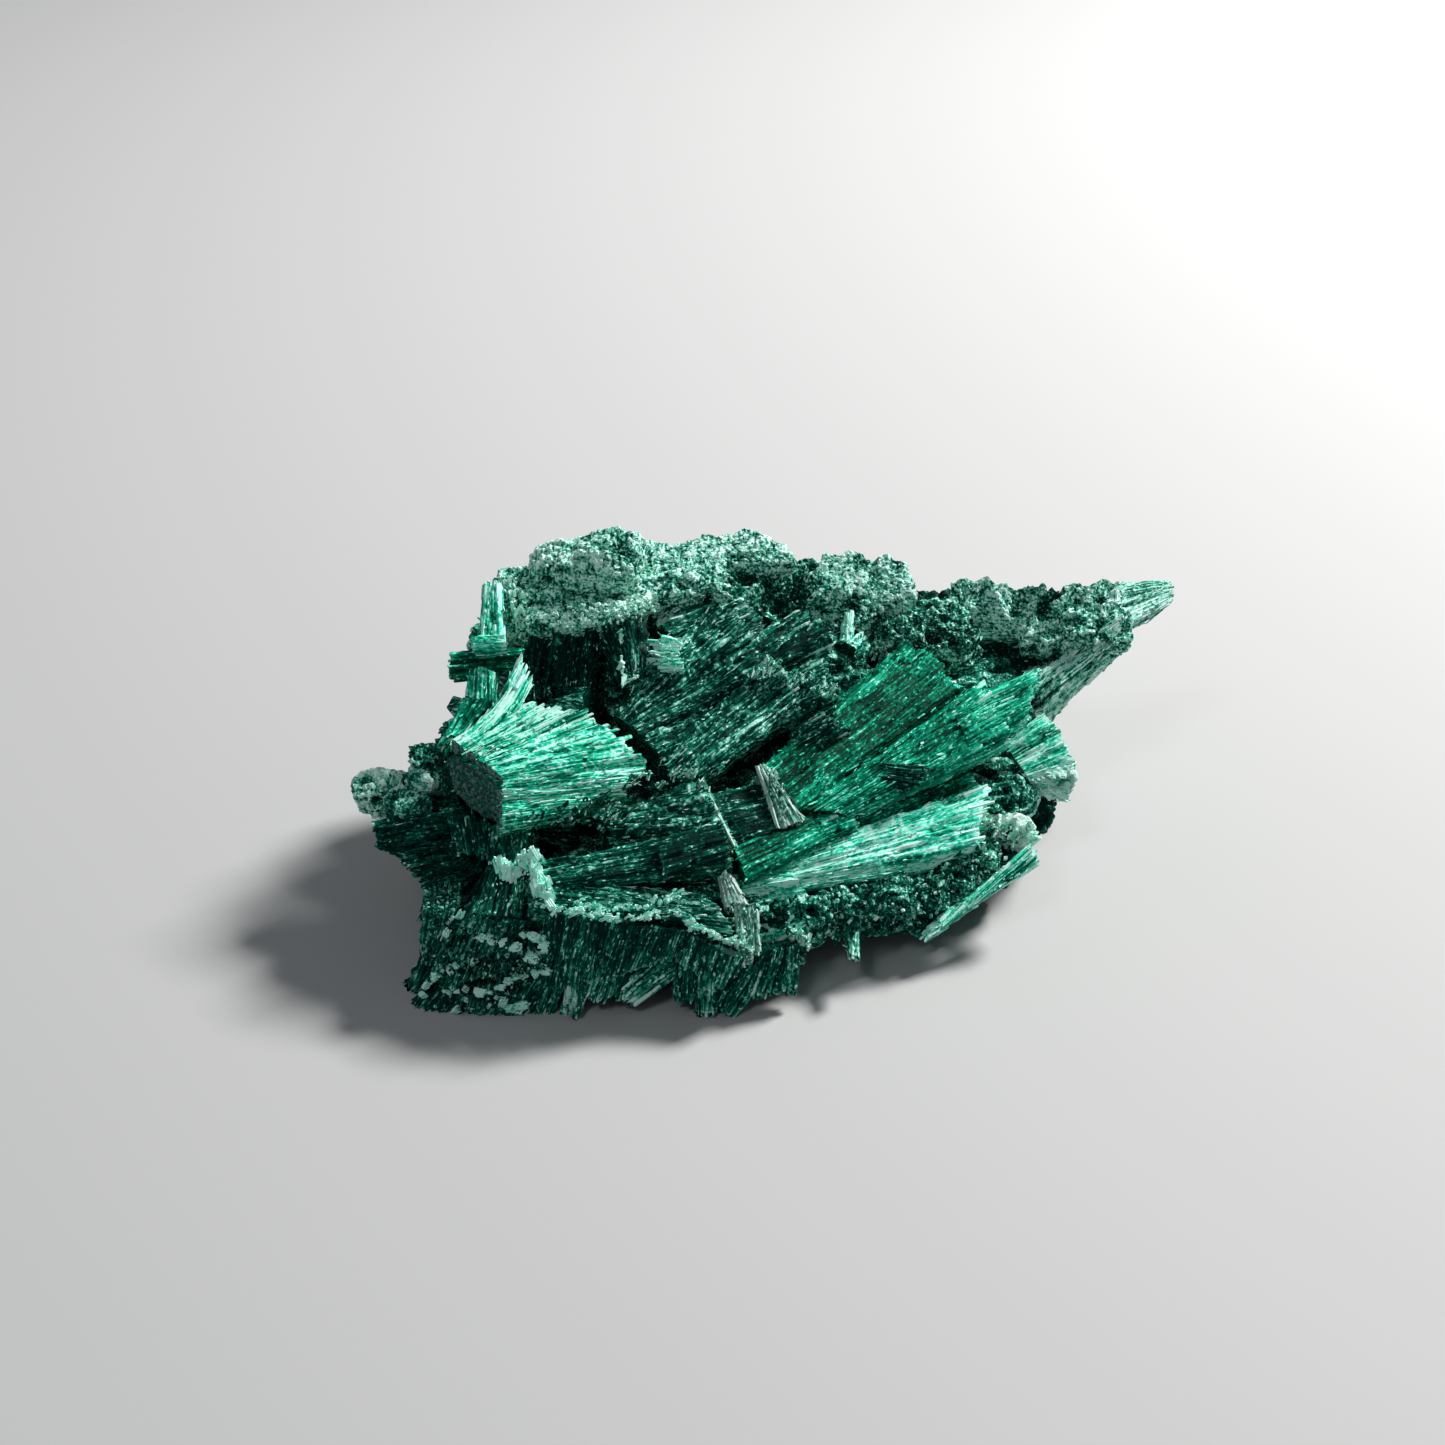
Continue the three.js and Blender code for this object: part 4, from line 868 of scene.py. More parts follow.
# Front fringe.
# The front face is of fine fibres that hang from the rim, and it ends below in separate
# tufts with pale blunt tips.
front_fringe = [
    *bundle(((-14.6, -16.9, 7.6), (2.72, 0.07, -0.4), (0.07, -1.69, 0.2)),
            ((-15.6, -18.2, 1.9), (2.39, 0.05, 0.27), (0.01, -1.19, 0.15)),
            81, (None, 0.8), relief=0.22, pitch=0.26, step=0.45, pale=-0.1),
    *bundle(((-9.7, -16.8, 6.8), (2.73, 0.36, -0.6), (0.26, -1.67, 0.19)),
            ((-10.7, -17.9, 3.3), (2.93, 0.2, 0.74), (0.03, -1.18, 0.19)),
            82, (None, 0.8), relief=0.22, pitch=0.26, step=0.45, pale=-0.1),
    *bundle(((-4.4, -17.3, 5.6), (2.31, -0.79, -0.7), (-0.52, -1.61, 0.1)),
            ((-5.6, -17.7, 2.8), (2.23, -0.1, -0.87), (-0.06, -1.2, -0.01)),
            83, (None, 0.8), relief=0.3, pitch=0.28, step=0.45),
    *bundle(((-17.1, -17.5, 2.4), (0.93, -0.1, -0.24), (0.01, -1.18, 0.55)),
            ((-19.4, -19.7, -0.4), (0.82, 0, -0.66), (0.11, -0.47, 0.14)),
            84, (None, 1), relief=0.5, pale=0.05),
    *bundle(((-16.4, -17.7, 2.3), (0.73, 0, -0.43), (0.24, -1.11, 0.4)),
            ((-17.2, -19.6, -0.2), (0.74, 0, 0.14), (-0.04, -0.45, 0.22)),
            85, (None, 1), relief=0.5),
    *bundle(((-15, -17.9, 1.5), (0.74, 0, 0.02), (-0.04, -0.91, 1.06)),
            ((-15.2, -19.6, 0.4), (0.69, 0, -0.09), (0.11, -0.71, 0.83)),
            86, (0.3, 0.5), relief=0.6, pale=0.75),
    *bundle(((-12.8, -17.6, 3), (0.92, 0, -0.2), (0.12, -1.04, 0.58)),
            ((-13.5, -19.5, 1.4), (0.83, 0, -0.09), (0.02, -0.35, 0.2)),
            87, (None, 1.2), relief=0.5, pale=0.1),
    *bundle(((-11.3, -17.6, 2.7), (0.92, 0, -0.08), (0.06, -1.02, 0.63)),
            ((-12, -19.5, 1.2), (0.83, 0, -0.09), (0.02, -0.34, 0.21)),
            88, (None, 1.2), relief=0.5, pale=0.1),
    *bundle(((-8, -17.3, 3.5), (0.84, 0, -0.99), (0.33, -1.12, 0.28)),
            ((-11.3, -19.3, 1.3), (0.55, 0, -0.66), (0.19, -0.65, 0.16)),
            89, (None, 1), relief=0.3, pale=0.3),
    *bundle(((-6.9, -17.3, 3.8), (0.83, 0, 0.03), (-0.02, -1.08, 0.52)),
            ((-7.1, -19.3, 1.2), (0.74, 0, -0.09), (0.03, -0.45, 0.21)),
            90, (None, 1.2), relief=0.5),
    *bundle(((-5.4, -17.1, 3.7), (1.01, 0.1, -0.15), (0.19, -1.18, 0.51)),
            ((-5.4, -19.5, 0.1), (0.74, 0, 0.02), (-0.01, -0.46, 0.2)),
            91, (None, 1), relief=0.5),
    *bundle(((-2.1, -16.9, 3.1), (0.95, 0.1, -0.83), (0.45, -1.16, 0.37)),
            ((-4.1, -19.6, 0.1), (0.57, 0, -0.55), (0.15, -0.45, 0.16)),
            92, (None, 1), relief=0.5, pale=0.05),
    *bundle(((-0.6, -16.6, 4.3), (0.83, 0.1, -0.04), (0.16, -1.09, 0.47)),
            ((-1.5, -18.8, 1.4), (0.92, 0, 0.14), (-0.03, -0.36, 0.18)),
            93, (None, 1.2), relief=0.5, pale=0.05),
    *bundle(((0.6, -16.2, 4.3), (0.83, 0.1, 0.18), (0.04, -1.12, 0.43)),
            ((0.3, -18.1, 1.4), (1.02, 0.1, 0.07), (0.03, -0.37, 0.14)),
            94, (None, 1.2), relief=0.5),
    *bundle(((5.5, -12.2, 3.6), (0.57, 0.03, 0), (0.01, -0.19, 0.78)),
            ((5.6, -16.3, 3.2), (0.41, 0, -0.1), (0.07, -0.07, 0.28)),
            95, (None, 0.6), relief=0.4, pale=0.5),
]
grow("front_fringe", front_fringe, front_fibres)

# Left base.
# Layers of short fibres stepped one over the other down to the floor. Each layer ends in
# a row of whitish crumbs.
# The layers are painted darker still, as the shade under the fan and the wing.
left_base = [
    *bundle(((-20.3, -11.6, 6.7), (1.82, -0.42, -0.2), (0.05, -0.67, 1.88)),
            ((-21.2, -18, 5.2), (3.22, -0.2, -0.09), (0.01, -0.43, 1.23)),
            101, (None, 0.8), relief=0.5, pale=-0.15),
    *bundle(((-20.8, -16.1, 6.3), (3.07, -0.5, 0), (-0.26, -1.62, 0.73)),
            ((-22.5, -17.8, 3.5), (3.15, -0.1, 0.63), (-0.13, -1.1, 0.47)),
            102, (None, 1.2), relief=0.7, pale=-0.2),
    *bundle(((-21.3, -16.3, 4), (3.54, -0.2, 0.59), (-0.24, -1.53, 0.92)),
            ((-22.2, -18.3, 1.6), (4.37, -0.1, 0.9), (-0.15, -1.02, 0.61)),
            103, (None, 1.2), relief=0.8, pale=-0.2),
    *bundle(((-21.9, -16.4, 1.5), (4.11, -0.2, 0.62), (-0.26, -1.56, 1.23)),
            ((-25.5, -18.7, -1), (1.69, -0.2, -0.02), (-0.11, -1.05, 0.76)),
            104, (None, 1.2), relief=0.8, pale=-0.2),
    *bundle(((-20.3, -16.9, 1.4), (3.16, -0.1, 0.4), (-0.19, -1.41, 1.1)),
            ((-21.7, -19.5, -0.9), (2.31, -0.1, -0.19), (0.01, -0.82, 0.58)),
            105, (None, 1.2), relief=0.8, pale=-0.2),
    *bundle(((-24.9, -15.8, 7.5), (1.1, -0.04, -0.05), (-0.07, -2, -0.05)),
            ((-26.2, -16.3, -1.5), (0.94, -0.7, 0.09), (-0.9, -1.18, 0.18)),
            106, (0.6, None), relief=0.6, pale=-0.05),
    ridge([(-25.6, -18.6, 2.7), (-23.5, -18.6, 4.2), (-21.3, -18.8, 3.9), (-19.1, -19, 3.9),
           (-17.6, -19, 4.4), (-20.9, -19.8, 1), (-25, -19.4, 0.4)],
          420, 0.42, (0.4, -0.6, 0.3), 116, pale=-0.05, spread=0.8),
]
grow("left_base", left_base, front_fibres)
base_crumbs = [
    tufts([(-24.4, -18.2, 5.5), (-24.2, -17.8, 6.5), (-23.4, -17.2, 7.2)],
          6, 0.42, (0.4, -0.4, 0.5), 107, pale=0.3, spread=0.3),
    tufts([(-22, -18.3, 6), (-21.3, -18.5, 5.6), (-20.2, -18.7, 5.3), (-19.1, -18.9, 5)],
          8, 0.48, (0.6, -0.5, 0.3), 108, pale=0.25),
    tufts([(-18.9, -18.6, 6.3), (-18, -18.7, 6.2), (-17.2, -18.8, 5.7), (-17.2, -18.9, 4.8)],
          8, 0.48, (0.6, -0.5, 0.3), 109, pale=0.3),
    tufts([(-25.4, -18.8, 2.4), (-23.9, -18.8, 3.3), (-22.3, -18.8, 3.9)],
          8, 0.45, (0.6, -0.5, 0.3), 110, pale=0.15),
    tufts([(-26.6, -19, 0.8), (-26, -18.9, 1.8), (-25.3, -18.8, 2.3)],
          5, 0.45, (0.5, -0.5, 0.5), 111, pale=0.1),
    tufts([(-24.8, -19.3, 1.1), (-23.1, -19.3, 1.7)], 5, 0.42, (0.6, -0.5, 0.3), 112, pale=0.3),
    tufts([(-20.9, -19.5, 2), (-19.6, -19.4, 2.5), (-18.2, -19.3, 3.3), (-16.7, -19.2, 3.4)],
          10, 0.42, (0.6, -0.5, 0.3), 113, pale=0.1),
    tufts([(-24.1, -20, 0.2), (-22.2, -19.8, 1.5), (-21.3, -19.8, 1.9), (-20.4, -20, 1.2),
           (-19.4, -20.2, 0.5), (-18.3, -20, 1.3)],
          12, 0.48, (0.5, -0.5, 0.4), 114, pale=0.05, spread=0.3),
    tufts([(-18.7, -18.9, 4.2), (-17.7, -18.9, 4.6)],
          5, 0.6, (0.2, -0.8, 0.3), 115, pale=0.5, spread=0.1),
]
grow("base_crumbs", base_crumbs, silk_fibres)

# Left wing and knobs.
# Dull folded layers reach out to the left below the bright fan, with pale granular knobs
# of the crust at their end. The layers and the inner knob are painted dark, as the shade under the fan.
left_wing = [
    *bundle(((-23.2, -8.1, 9.3), (0.74, -0.46, -0.75), (-0.13, -1.76, 0.94)),
            ((-30.8, -8.9, 8.3), (0.27, -0.23, -0.7), (-0.03, -1.24, 0.39)),
            121, (None, 1), relief=0.8, pale=-0.6, splinters=2),
    *bundle(((-21.9, -9.9, 8.2), (0.61, -0.86, -0.7), (-0.77, -1.46, 1.13)),
            ((-29.2, -8.6, 6.5), (1.19, -0.4, -1), (-0.32, -1.25, 0.12)),
            122, (None, 1), relief=0.8, pale=-0.6, splinters=2),
    *bundle(((-22.6, -10.5, 8), (1.12, -0.66, -0.6), (-0.93, -1.76, 0.19)),
            ((-27, -9.5, 4.2), (1.31, -2.34, -0.8), (-0.95, -0.82, 0.82)),
            123, (None, 1.4), relief=0.8, pale=-0.6, splinters=2),
    *bundle(((-23.1, -9.9, 10.1), (2.04, -0.74, -0.1), (-0.3, -0.94, 0.84)),
            ((-23, -11.9, 8.7), (1.45, -0.27, -0.2), (-0.03, -0.58, 0.55)),
            124, (None, 1.2), relief=0.6, pale=-0.4, splinters=2),
    *bundle(((-20.4, -10.3, 9.8), (1.76, 0.24, -0.2), (0.26, -1.09, 0.99)),
            ((-20.2, -12.7, 7.9), (1.5, 0.06, -0.2), (0.12, -0.74, 0.67)),
            125, (0.5, 0.8), relief=0.5, pale=-0.2),
    lump((-31, -4.8, 9.1), (2.3, 1.8, 1.5), 126, pale=0.85, cell=0.2),
    lump((-27.7, -5.6, 11.4), (1.3, 1.1, 0.9), 127, pale=0.7),
    lump((-27.4, -4.3, 12.3), (1.5, 1.3, 1.1), 128),
    lump((-28.6, -7.2, 9.1), (1.6, 1.4, 1.4), 129),
    lump((-24, -6.6, 11.2), (2, 1.8, 1.8), 130, pale=-0.6),
]
grow("left_wing", left_wing, knobbly)

# Left tower.
# A thin upright blade with a cross bar, above a short stem of fibres, at the left end of
# the crust. All of it is of bundles broken crosswise.
left_tower = [
    *bundle(((-22.9, 2.9, 18.2), (0.98, -0.09, -0.1), (0.02, -0.66, 0.75)),
            ((-23.2, 6.8, 21.6), (0.66, 0.12, 0.05), (0.06, -0.66, 0.75)),
            131, (0.5, 0.8), relief=0.35, pale=0.45),
    *bundle(((-24.3, 2.1, 18.5), (0.15, -0.6, -0.2), (-0.11, -0.34, 0.93)),
            ((-21.7, 2.1, 18.8), (0.14, -0.6, -0.2), (-0.11, -0.34, 0.94)),
            132, (0.4, 0.4), relief=0.4, pale=0.5),
    *bundle(((-20.5, 2.3, 17.5), (-0.05, -0.64, -0.5), (0.02, -0.8, 1.02)),
            ((-26.1, 1.6, 17.3), (0.07, -0.83, -0.6), (0.01, -0.64, 0.89)),
            133, (None, 0.6), relief=0.5, pale=-0.25),
    *bundle(((-23.4, 1.2, 16.9), (0.94, -0.14, 0), (-0.1, -0.67, 0.87)),
            ((-23.5, -0.9, 15.3), (1.11, -0.15, -0.2), (0.07, -0.67, 0.87)),
            134, (0.4, 0.5), relief=0.3, pale=0.1),
    *bundle(((-23.5, -0.8, 15), (1.3, -0.13, -0.1), (0.02, -0.77, 1.29)),
            ((-25.2, -4.3, 13.2), (1.07, 0.28, 0.4), (-0.31, -0.48, 1.17)),
            135, (None, 0.8), relief=0.5, pale=-0.1),
]
grow("left_tower", left_tower, leaf_fibres)

# Wall under the crust.
# The back of a dark hollow, of wispy fibres that hang from the crust several ways. They are
# the same coarse fibres as those of the middle bundles, painted darker as the shade under the crust.
crust_wall = [
    *bundle(((-19, 7.3, 17.7), (1.69, -0.16, -0.1), (-0.02, -1.01, 1.37)),
            ((-20, 1.8, 14.2), (0.81, 0.06, -0.6), (0.8, -0.78, 1)),
            141, (None, 1.2), relief=0.8, splinters=2, lift=0.6, pale=-0.5),
    *bundle(((-16.2, 7.2, 17.8), (1.77, 0.1, 0), (0.08, -1.39, 1.43)),
            ((-16.9, 3, 14.3), (1.65, 0.09, 0), (0.06, -1.04, 1.07)),
            142, (None, 1.2), relief=0.9, splinters=2, lift=0.7, pale=-0.5),
    *bundle(((-13.3, 7.5, 17.6), (1.87, 0.34, 0), (0.22, -1.2, 1.59)),
            ((-11.6, 3.1, 14.8), (1.35, -0.11, 0.1), (-0.16, -0.96, 1.14)),
            143, (None, 1.2), relief=0.9, splinters=2, lift=0.7, pale=-0.5),
    *bundle(((-12.5, 3, 15), (0.25, -0.79, -0.5), (-0.03, -0.8, 1.27)),
            ((-8.5, 3.8, 16.2), (-0.38, -1.06, -0.5), (-0.07, -0.41, 0.91)),
            144, (None, 1.2), relief=0.6, splinters=2, lift=0.5),
]
grow("crust_wall", crust_wall, middle_fibres)

# Bright tufts.
# Small bright tufts of clean fibre: one hangs at the right end of the hollow, one stands
# above the middle bundles, and thin white splinters cross the hollow.
bright_tufts = [
    *bundle(((-9.5, 4.3, 17.2), (0.02, -1.43, -0.8), (-0.25, -0.37, 0.66)),
            ((-8, 3.5, 17.7), (-0.03, -1.19, -0.7), (-0.16, -0.24, 0.41)),
            145, (None, 1), relief=0.5, splinters=3, lift=0.5, pale=0.2),
    *bundle(((5.4, 12.2, 17.2), (0.43, 0.03, 0), (0.03, -0.49, 0.63)),
            ((5.2, 9.7, 15.5), (0.48, -0.2, 0), (-0.14, -0.34, 0.47)),
            37, (0.3, 1.2), relief=0.6, splinters=3, lift=0.5),
    ridge([(-12.9, 3.3, 17.2), (-12.5, 1.7, 16.2)],
          12, 0.5, (0.1, -0.4, -0.9), 146, pale=0.6, spread=0.1),
    ridge([(-12.3, 1.7, 16.2), (-11.5, 2.2, 16.5)],
          8, 0.4, (0.8, 0.2, 0.2), 147, pale=0.6, spread=0.08),
    ridge([(-12.9, 5.4, 19), (-12.9, 4.4, 18.5)],
          7, 0.35, (0.1, -0.4, -0.8), 148, pale=0.4, spread=0.08),
]
grow("bright_tufts", bright_tufts, silk_fibres)

# Crust.
# The top is a fairly level crust of fibre tips end on: pale mint grains, with pits painted dark as shade.
# It is lumpy, and one hump at the back left stands higher.
dusty = [
    (0.0, (0.0, 0.02, 0.014)),
    (0.2, (0.003, 0.075, 0.05)),
    (0.4, (0.015, 0.2, 0.135)),
    (0.56, (0.06, 0.37, 0.27)),
    (0.72, (0.19, 0.6, 0.46)),
    (0.87, (0.38, 0.8, 0.67)),
    (1.0, (0.68, 0.94, 0.87)),
]
crusty = mineral("crusty", 0.25, dusty, 1.25, 2.2)
CRUST_STEP_MM = 0.17
FOLD_MM = 1.7


def crag(outline, top, depth, seed, humps=(), folds=0.0, grit=0.14, ragged=1.3, pale=0.0):
    """Closed surface of a slab of crust, drawn round its outline (seen from above) and then crumbled.

    The top is z = t0 + t1 x + t2 y, plus h e^(-((x - hx)^2 + (y - hy)^2) / r^2) for each hump, plus folds
    of that height, FOLD_MM apart and askew. The rim is pushed out and in by smooth noise, ragged times,
    and the side goes down to the depth and back in under it."""
    outline = np.array(outline, float)
    closed = np.concatenate([outline, outline[:1]])
    run = np.concatenate([[0], np.cumsum(np.linalg.norm(np.diff(closed, axis=0), axis=1))])
    columns = round(run[-1] / CRUST_STEP_MM)
    spot = np.arange(columns) / columns * run[-1]
    rim = np.stack([np.interp(spot, run, closed[:, k]) for k in range(2)], axis=1)
    centre = outline.mean(axis=0)
    radial = unit(rim - centre)
    place = np.concatenate([rim, np.full((columns, 1), seed * 2.3)], axis=1)
    push = 1.3 * (swell(place, 1.9, seed + 3) - 0.5) + 0.9 * (swell(place, 0.7, seed + 4) - 0.5)
    rim = rim + radial * (ragged * push)[:, None]
    rings = max(8, round(np.linalg.norm(rim - centre, axis=1).max() / CRUST_STEP_MM))
    side = max(6, round(depth * 1.4 / CRUST_STEP_MM))
    down = np.arange(1, side + 1) / side
    level = np.arange(1, rings + 1) / rings
    share = np.concatenate([level, 1 - 0.2 * down**2, 0.8 * (1 - down[:-1] * 0.9)])
    drop = np.concatenate([0.12 * level**14, 0.12 + 0.88 * down, np.ones(side - 1)]) * depth
    lean = np.concatenate([0.9 * level**14, 1.2 + 0.6 * down, np.linspace(2.2, math.pi, side - 1)])
    flat = centre + (rim - centre)[None] * share[:, None, None]
    way = np.concatenate([
        radial[None] * np.sin(lean)[:, None, None],
        np.broadcast_to(np.cos(lean)[:, None, None], (len(share), columns, 1)),
    ], axis=2)
    flat = np.concatenate([flat.reshape(-1, 2), centre[None], centre[None]])
    way = np.concatenate([way.reshape(-1, 3), [(0, 0, 1)], [(0, 0, -1)]])
    drop = np.concatenate([np.repeat(drop, columns), [0], [depth]])
    height = top[0] + flat @ np.array(top[1:]) - drop
    shade = np.zeros(len(flat))
    for hx, hy, radius, rise in humps:
        swelling = rise * np.exp(-((flat[:, 0] - hx) ** 2 + (flat[:, 1] - hy) ** 2) / radius**2)
        height += swelling
        shade += 0.8 * np.minimum(swelling, 0)
    points = np.concatenate([flat, height[:, None]], axis=1)
    askew = (flat @ np.array([0.75, -0.65])) / FOLD_MM + 1.2 * swell(points, 2.6, seed + 9)
    fold = folds * (np.abs(askew % 1 - 0.5) * 2 - 0.5)
    points[:, 2] += fold
    points, tone, tip = crumble(points, way, grit, seed, 0.3)
    here = np.arange(len(share) - 1)[:, None] * columns + np.arange(columns)
    beside = np.arange(len(share) - 1)[:, None] * columns + (np.arange(columns) + 1) % columns
    quads = np.stack([here, here + columns, beside + columns, beside], axis=-1).reshape(-1, 4)
    near, far = np.arange(columns), (len(share) - 1) * columns + np.arange(columns)
    middle, none = len(points) - 2, -np.ones(columns, int)
    upper = np.stack([np.full(columns, middle), near, (near + 1) % columns, none], axis=1)
    far_next = far - near + (near + 1) % columns
    lower = np.stack([np.full(columns, middle + 1), far_next, far, none], axis=1)
    faces = np.concatenate([quads, upper, lower])
    # The tone is painted darker in the dips and the fold grooves and paler on the fold ridges, as shade and
    # light.
    return surface(points, faces, tone + pale + shade + fold, tip, 0, points * (0.8, 2, 5), ROUGH)


crust = [
    crag([(-20.4, 5.3), (-18.8, 4.9), (-16.2, 4.8), (-14.2, 5.6), (-11.9, 6.9), (-10.8, 8.3),
          (-9.6, 8.2), (-8, 8.6), (-6.6, 10.2), (-4.9, 11), (-4.7, 13), (-5.3, 14.8), (-8.2, 14.6),
          (-11.8, 14.2), (-15, 13.6), (-18.3, 13.1), (-20.4, 11.6), (-20.8, 8.5)],
         (17.75, 0, 0.33), 2.2, 149, ragged=1.1),
    lump((-14.6, 11, 21), (3, 2.6, 3.4), 150, cell=CRUST_STEP_MM, grit=0.24, pale=0.05),
    lump((-17.6, 11, 20.4), (2.8, 2.8, 2.9), 155, cell=CRUST_STEP_MM, grit=0.24, pale=0.05),
    crag([(-22.6, 7.8), (-21, 6), (-19.5, 6.5), (-19, 9), (-19.3, 12.4), (-21.5, 12.9),
          (-23.4, 12.4), (-23.8, 10.2)],
         (17.2, 0, 0.28), 2.2, 151, pale=-0.2),
    crag([(-8.5, 12.5), (-4.8, 12.3), (-2, 12.1), (0.6, 13), (0.3, 15), (-3, 16), (-6.5, 16.1),
          (-8.8, 15)],
         (18, 0, 0.3), 2.8, 152, pale=0.1),
    crag([(-7, 9.6), (-4.5, 8.7), (-1.5, 9.5), (1, 10.9), (3.2, 11), (5, 11.6), (4.6, 13.4),
          (1.3, 14.2), (-2, 14.3), (-5, 13.4)],
         (14.3, -0.08, 0.5), 2.6, 153,
         humps=((-2.2, 9.4, 1, -1.5), (-0.5, 10.5, 1.1, -1.6), (1, 11.8, 0.9, -1.5)), folds=0.7,
         pale=-0.4),
    crag([(2.2, 13.6), (6.4, 12.9), (9.9, 13.1), (11.8, 14.6), (10.5, 16.6), (6.3, 17.4),
          (2.8, 16.8), (1.5, 15.2)],
         (10.4, 0, 0.6), 3, 154, pale=0.15),
    # Painted shade: this lump beside the arm gets a dark tone for the shadowed hollow it stands in.
    lump((12, 12.8, 15), (4.4, 3.6, 2.2), 157, phase=14, pale=-0.8),
    lump((26, 13.6, 15.2), (3, 2.4, 2), 163, pale=-0.3),
    lump((-17, 10, 17.6), (5.4, 4.4, 3.4), 158, phase=17, pale=-0.2),
    lump((-9, 12.4, 17.8), (6, 3.8, 3.6), 159, phase=18, pale=-0.2),
    lump((2.5, 14.6, 15.6), (5.6, 3.2, 3.6), 160, phase=19, pale=-0.3),
    ridge([(-23.2, 9.3, 21), (-22.1, 9.2, 20.6), (-21.1, 7.1, 19.8), (-20.7, 5.4, 18.6)],
          160, 0.5, (-0.2, -0.4, 0.8), 161, pale=0, spread=0.7),
    ridge([(-18.9, 5, 19.8), (-15.3, 5.3, 20.2), (-12.9, 5.5, 20.4), (-10.8, 6.6, 20.6)],
          150, 0.4, (0.2, -0.6, 0.1), 162, pale=0.05, spread=0.7),
]
grow("crust", crust, crusty)

# Rear arm.
# A thick bundle reaches to the right from under the crust and ends in a spike. Lumpy folded
# crust covers its top, and its underside shows diagonal fibres.
rear_arm = [
    # The core under the crust is painted dark, as the shade under the overhang.
    *bundle(((15.4, 15.6, 13.2), (0, 1.6, 0.8), (0, -1.2, 2.2)),
            ((28.1, 15.9, 14.4), (0, 1.8, 0.9), (0, -1.2, 2.2)),
            171, (None, None), relief=0.9, splinters=1, pale=-0.4),
    *bundle(((26.5, 15.8, 15.6), (0.33, -2.52, -1.5), (0.46, -0.69, 1.25)),
            ((32.9, 19.4, 16.5), (0.05, -0.89, -0.5), (0.15, -0.23, 0.42)),
            172, (0.6, 0.8), relief=0.5, pale=0.05),
    *bundle(((21.5, 9.4, 11.2), (0.19, -1.5, -0.7), (-0.49, -0.87, 1.73)),
            ((27.9, 13.4, 15.7), (0.12, -0.95, -0.8), (-0.09, -0.97, 1.14)),
            173, (None, 0.8), relief=0.5),
    *bundle(((18.7, 12.7, 10.1), (-0.1, -3.23, -2.25), (-0.11, -1.14, 1.64)),
            ((23.9, 14.1, 11.4), (-0.66, -1.63, -1.5), (-0.02, -1.35, 1.48)),
            177, (None, 1), relief=0.6, pale=-0.3),
    crag([(14.3, 14.4), (16.9, 14.4), (19.8, 13.2), (22.2, 12.2), (24.6, 11.9), (26.7, 12),
          (28.4, 14), (28.5, 16.2), (27.4, 17), (25.3, 16.7), (23.2, 16.2), (20.6, 16.2),
          (18.1, 16.4), (16.3, 16.9), (14.4, 16.8)],
         (6.2, 0, 0.73), 3, 175,
         humps=((25.5, 14.6, 1.6, 0.4), (22, 16, 1.6, 1.4), (17.5, 15.5, 1.2, 0.4)), folds=0.7,
         grit=0.2, pale=-0.1),
]
grow("rear_arm", rear_arm, crusty)

# Shaded knobs.
# Rough knobs of the heart fill the gap between the middle bundles, the leaves and the
# arm, and the hollow behind the right block. Their dark tone is painted shade, for the hollows they sit in.
shaded_knobs = [
    *bundle(((14.8, 12.4, 11.1), (2.66, -1.68, -0.7), (-0.03, -0.73, 1.65)),
            ((19.3, 16.4, 13.2), (2.46, -2.31, -0.8), (-0.07, -0.56, 1.39)),
            174, (None, 1), relief=0.5, pale=-0.7),
    lump((6.5, 14.4, 15.7), (2.4, 2.2, 2), 181, pale=-0.8),
    lump((9.5, 15.4, 15.3), (2.4, 2.2, 2), 182, pale=-0.8),
    lump((12.9, 16.4, 14.9), (2.6, 2.4, 2), 183, pale=-0.8),
    lump((7.8, 12.8, 13.3), (2.2, 2, 2), 184, pale=-0.8),
    lump((6.1, 9.6, 12.2), (1.8, 1.8, 2), 185, pale=-0.8),
    lump((11.2, 14.3, 13.5), (2.2, 2, 2), 186, pale=-0.8),
    lump((14.2, 14, 13), (2, 1.5, 1.5), 193, pale=-0.9),
    lump((17.3, 14, 12.6), (2, 1.5, 1.5), 194, pale=-0.9),
    lump((20.2, 13.8, 12.3), (1.8, 1.4, 1.4), 195, pale=-0.9),
    lump((17.7, 6.4, 7.2), (2.2, 2.2, 2), 187, cell=0.22, grit=0.22, pale=-0.75),
    lump((18.9, 4.1, 5.8), (2.4, 2, 2), 188, cell=0.22, grit=0.22, pale=-0.75),
    lump((20.5, 2.8, 4.7), (1.8, 1.8, 1.8), 189, cell=0.22, grit=0.22, pale=-0.75),
    ridge([(6.3, 10.7, 15.2), (7.6, 10.2, 15), (8.9, 10.4, 15.2)],
          50, 0.42, (0, -0.4, 0.8), 190, pale=0.3),
    ridge([(5, 7.8, 14), (6, 8, 14.2), (7.3, 7.5, 14)], 50, 0.42, (0, -0.4, 0.8), 191, pale=0.3),
    ridge([(8.5, 12.2, 16.4), (9.8, 13, 17), (11.1, 13.2, 17.2)],
          50, 0.42, (0, -0.4, 0.8), 192, pale=0.3),
]
grow("shaded_knobs", shaded_knobs, knobbly)

# Back bundles.
# Bundles of fibres that fan outwards to the back and the left from the heart, in three
# tiers, each with a ragged pale end.
def ends(start, end, width, depth, face):
    """The root and tip of a bundle from its two ends, its widths and depths and the way its face looks.

    Outward is the face's way less its part along the bundle, and across is square to both."""
    start, end = np.array(start, float), np.array(end, float)
    along = unit(end - start)
    out = np.array(face, float)
    out = unit(out - along * (out @ along))
    across = np.cross(along, out)
    root = start, across * width[0] / 2, out * depth[0] / 2
    tip = end, across * width[1] / 2, out * depth[1] / 2
    return root, tip


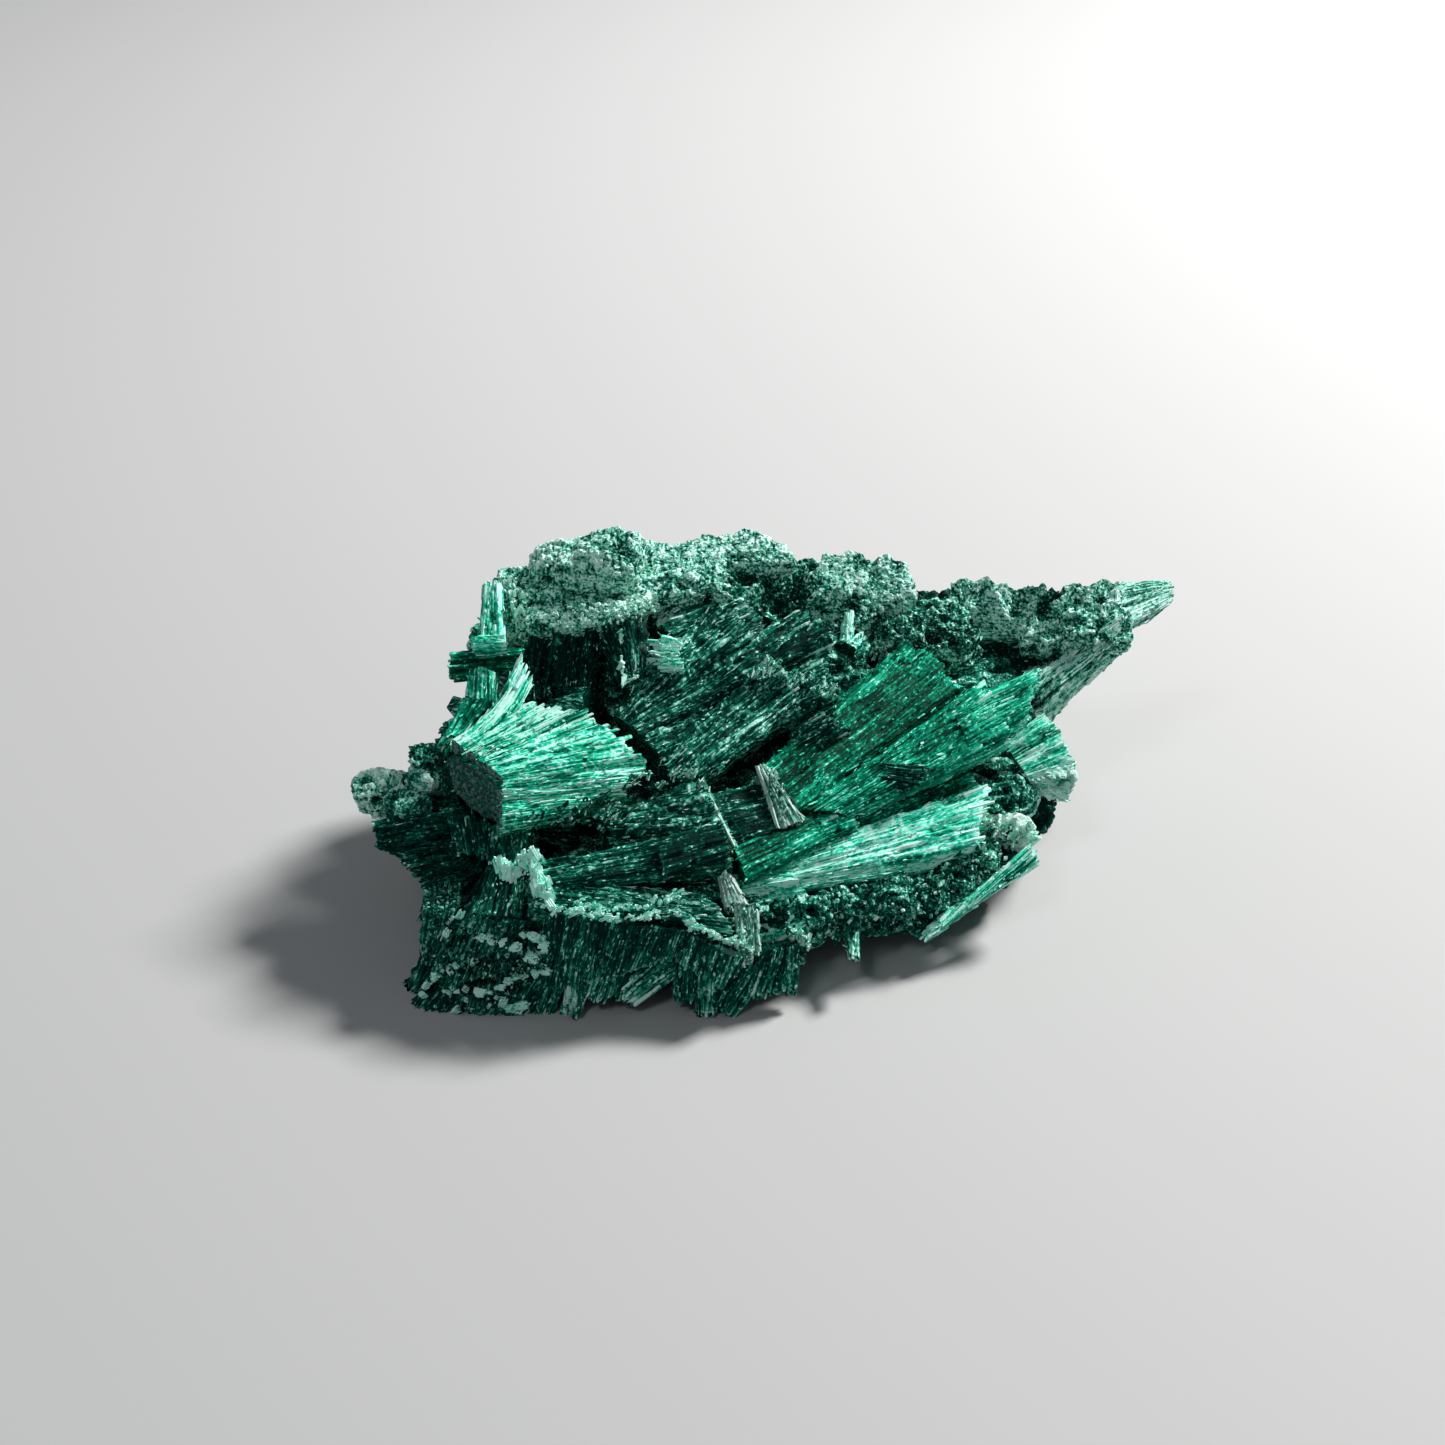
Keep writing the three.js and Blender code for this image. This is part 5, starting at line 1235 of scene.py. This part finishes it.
back_table = [
    ((-18, 4, 14), (-23.5, 14, 12.5), (7, 6), (6, 5), (-0.3, 0.3, 0.9)),
    ((-16, 5, 9), (-21, 16.5, 6.5), (8, 7), (7, 6), (-0.2, 0.4, 0.9)),
    ((-14, 5, 4), (-18.5, 14.5, 1.5), (9, 8), (7, 6), (-0.2, 0.3, 0.9)),
    ((-11, 8, 16), (-14, 17, 14.5), (7, 5.5), (6, 5), (-0.1, 0.2, 0.95)),
    ((-9, 8, 10), (-11, 19, 8.5), (8, 7.5), (8, 6.5), (0, 0.3, 0.9)),
    ((-7, 7, 4), (-8.5, 17.5, 1.5), (9, 8), (7, 6), (0, 0.2, 0.95)),
    ((-4, 9, 15.5), (-4, 18, 14), (7, 7.5), (6, 5), (0.1, 0.2, 0.95)),
    ((-2, 9, 9.5), (1, 20.2, 8), (8, 7), (7, 6), (0, 0.3, 0.9)),
    ((0, 7, 4), (3, 16.5, 2), (8, 7), (7, 6), (0, 0.3, 0.9)),
    ((3, 9, 14), (7.5, 17.5, 13), (7, 5.5), (5, 4.5), (0, 0.4, 0.9)),
    ((5, 8, 9), (12, 18.5, 7.5), (7, 6.5), (7, 6), (0, 0.3, 0.9)),
    ((6, 6, 4), (13, 14.5, 1), (8, 7), (7, 6), (0, 0.3, 0.9)),
    ((11, 8, 11), (19.5, 17, 10.5), (6, 5.5), (5, 4.5), (0, 0.4, 0.9)),
    ((13, 7, 7), (21, 12.5, 5.5), (6, 5), (5, 4), (0.2, 0.3, 0.9)),
    ((-15, 0, 12), (-26, 3.5, 9.5), (7, 6), (6, 5), (-0.3, -0.2, 0.9)),
    ((-14, -1, 7), (-27.5, 1, 4.5), (8, 7), (6, 5), (-0.3, 0.1, 0.9)),
    ((-14, -3, 4), (-26, -5, 1.5), (8, 7), (6, 5), (-0.3, -0.1, 0.9)),
    ((-15, -6, 9), (-28, -3, 7.5), (6, 5), (5, 4), (-0.2, 0.2, 0.9)),
    ((8, 1, 6), (18, 6, 3), (7, 6), (6, 5), (0.2, 0.1, -0.9)),
]
back_bundles = []
for number, row in enumerate(back_table):
    back_bundles += bundle(*ends(*row), 200 + number, pitch=0.7, relief=0.8, splinters=0.3, step=0.75)
grow("back_bundles", back_bundles, middle_fibres)

# Heart.
# The rough middle that all bundles grew from. It shows between them as dark broken stone,
# and its underside is worn level where the specimen rests.
heart_table = [
    ((-10, -6.5, 3.6), (11.6, 7.6, 4.2)),
    ((-8, -13.3, 2.6), (9.6, 3, 3.2)),
    ((-15, 0, 6.6), (8.6, 7.6, 4.4)),
    ((0, 1, 5.6), (9.6, 8.6, 4.6)),
    ((12, 3, 5.8), (8.2, 5.7, 3.7)),
    ((-6, 10, 9), (14.6, 6.2, 8)),
    ((12, 11, 8.3), (9.2, 5.7, 5.2)),
]
heart = []
for number, (centre, radii) in enumerate(heart_table):
    heart.append(lump(centre, radii, 230 + number, cell=0.65, phase=number))
grow("heart", heart, knobbly)
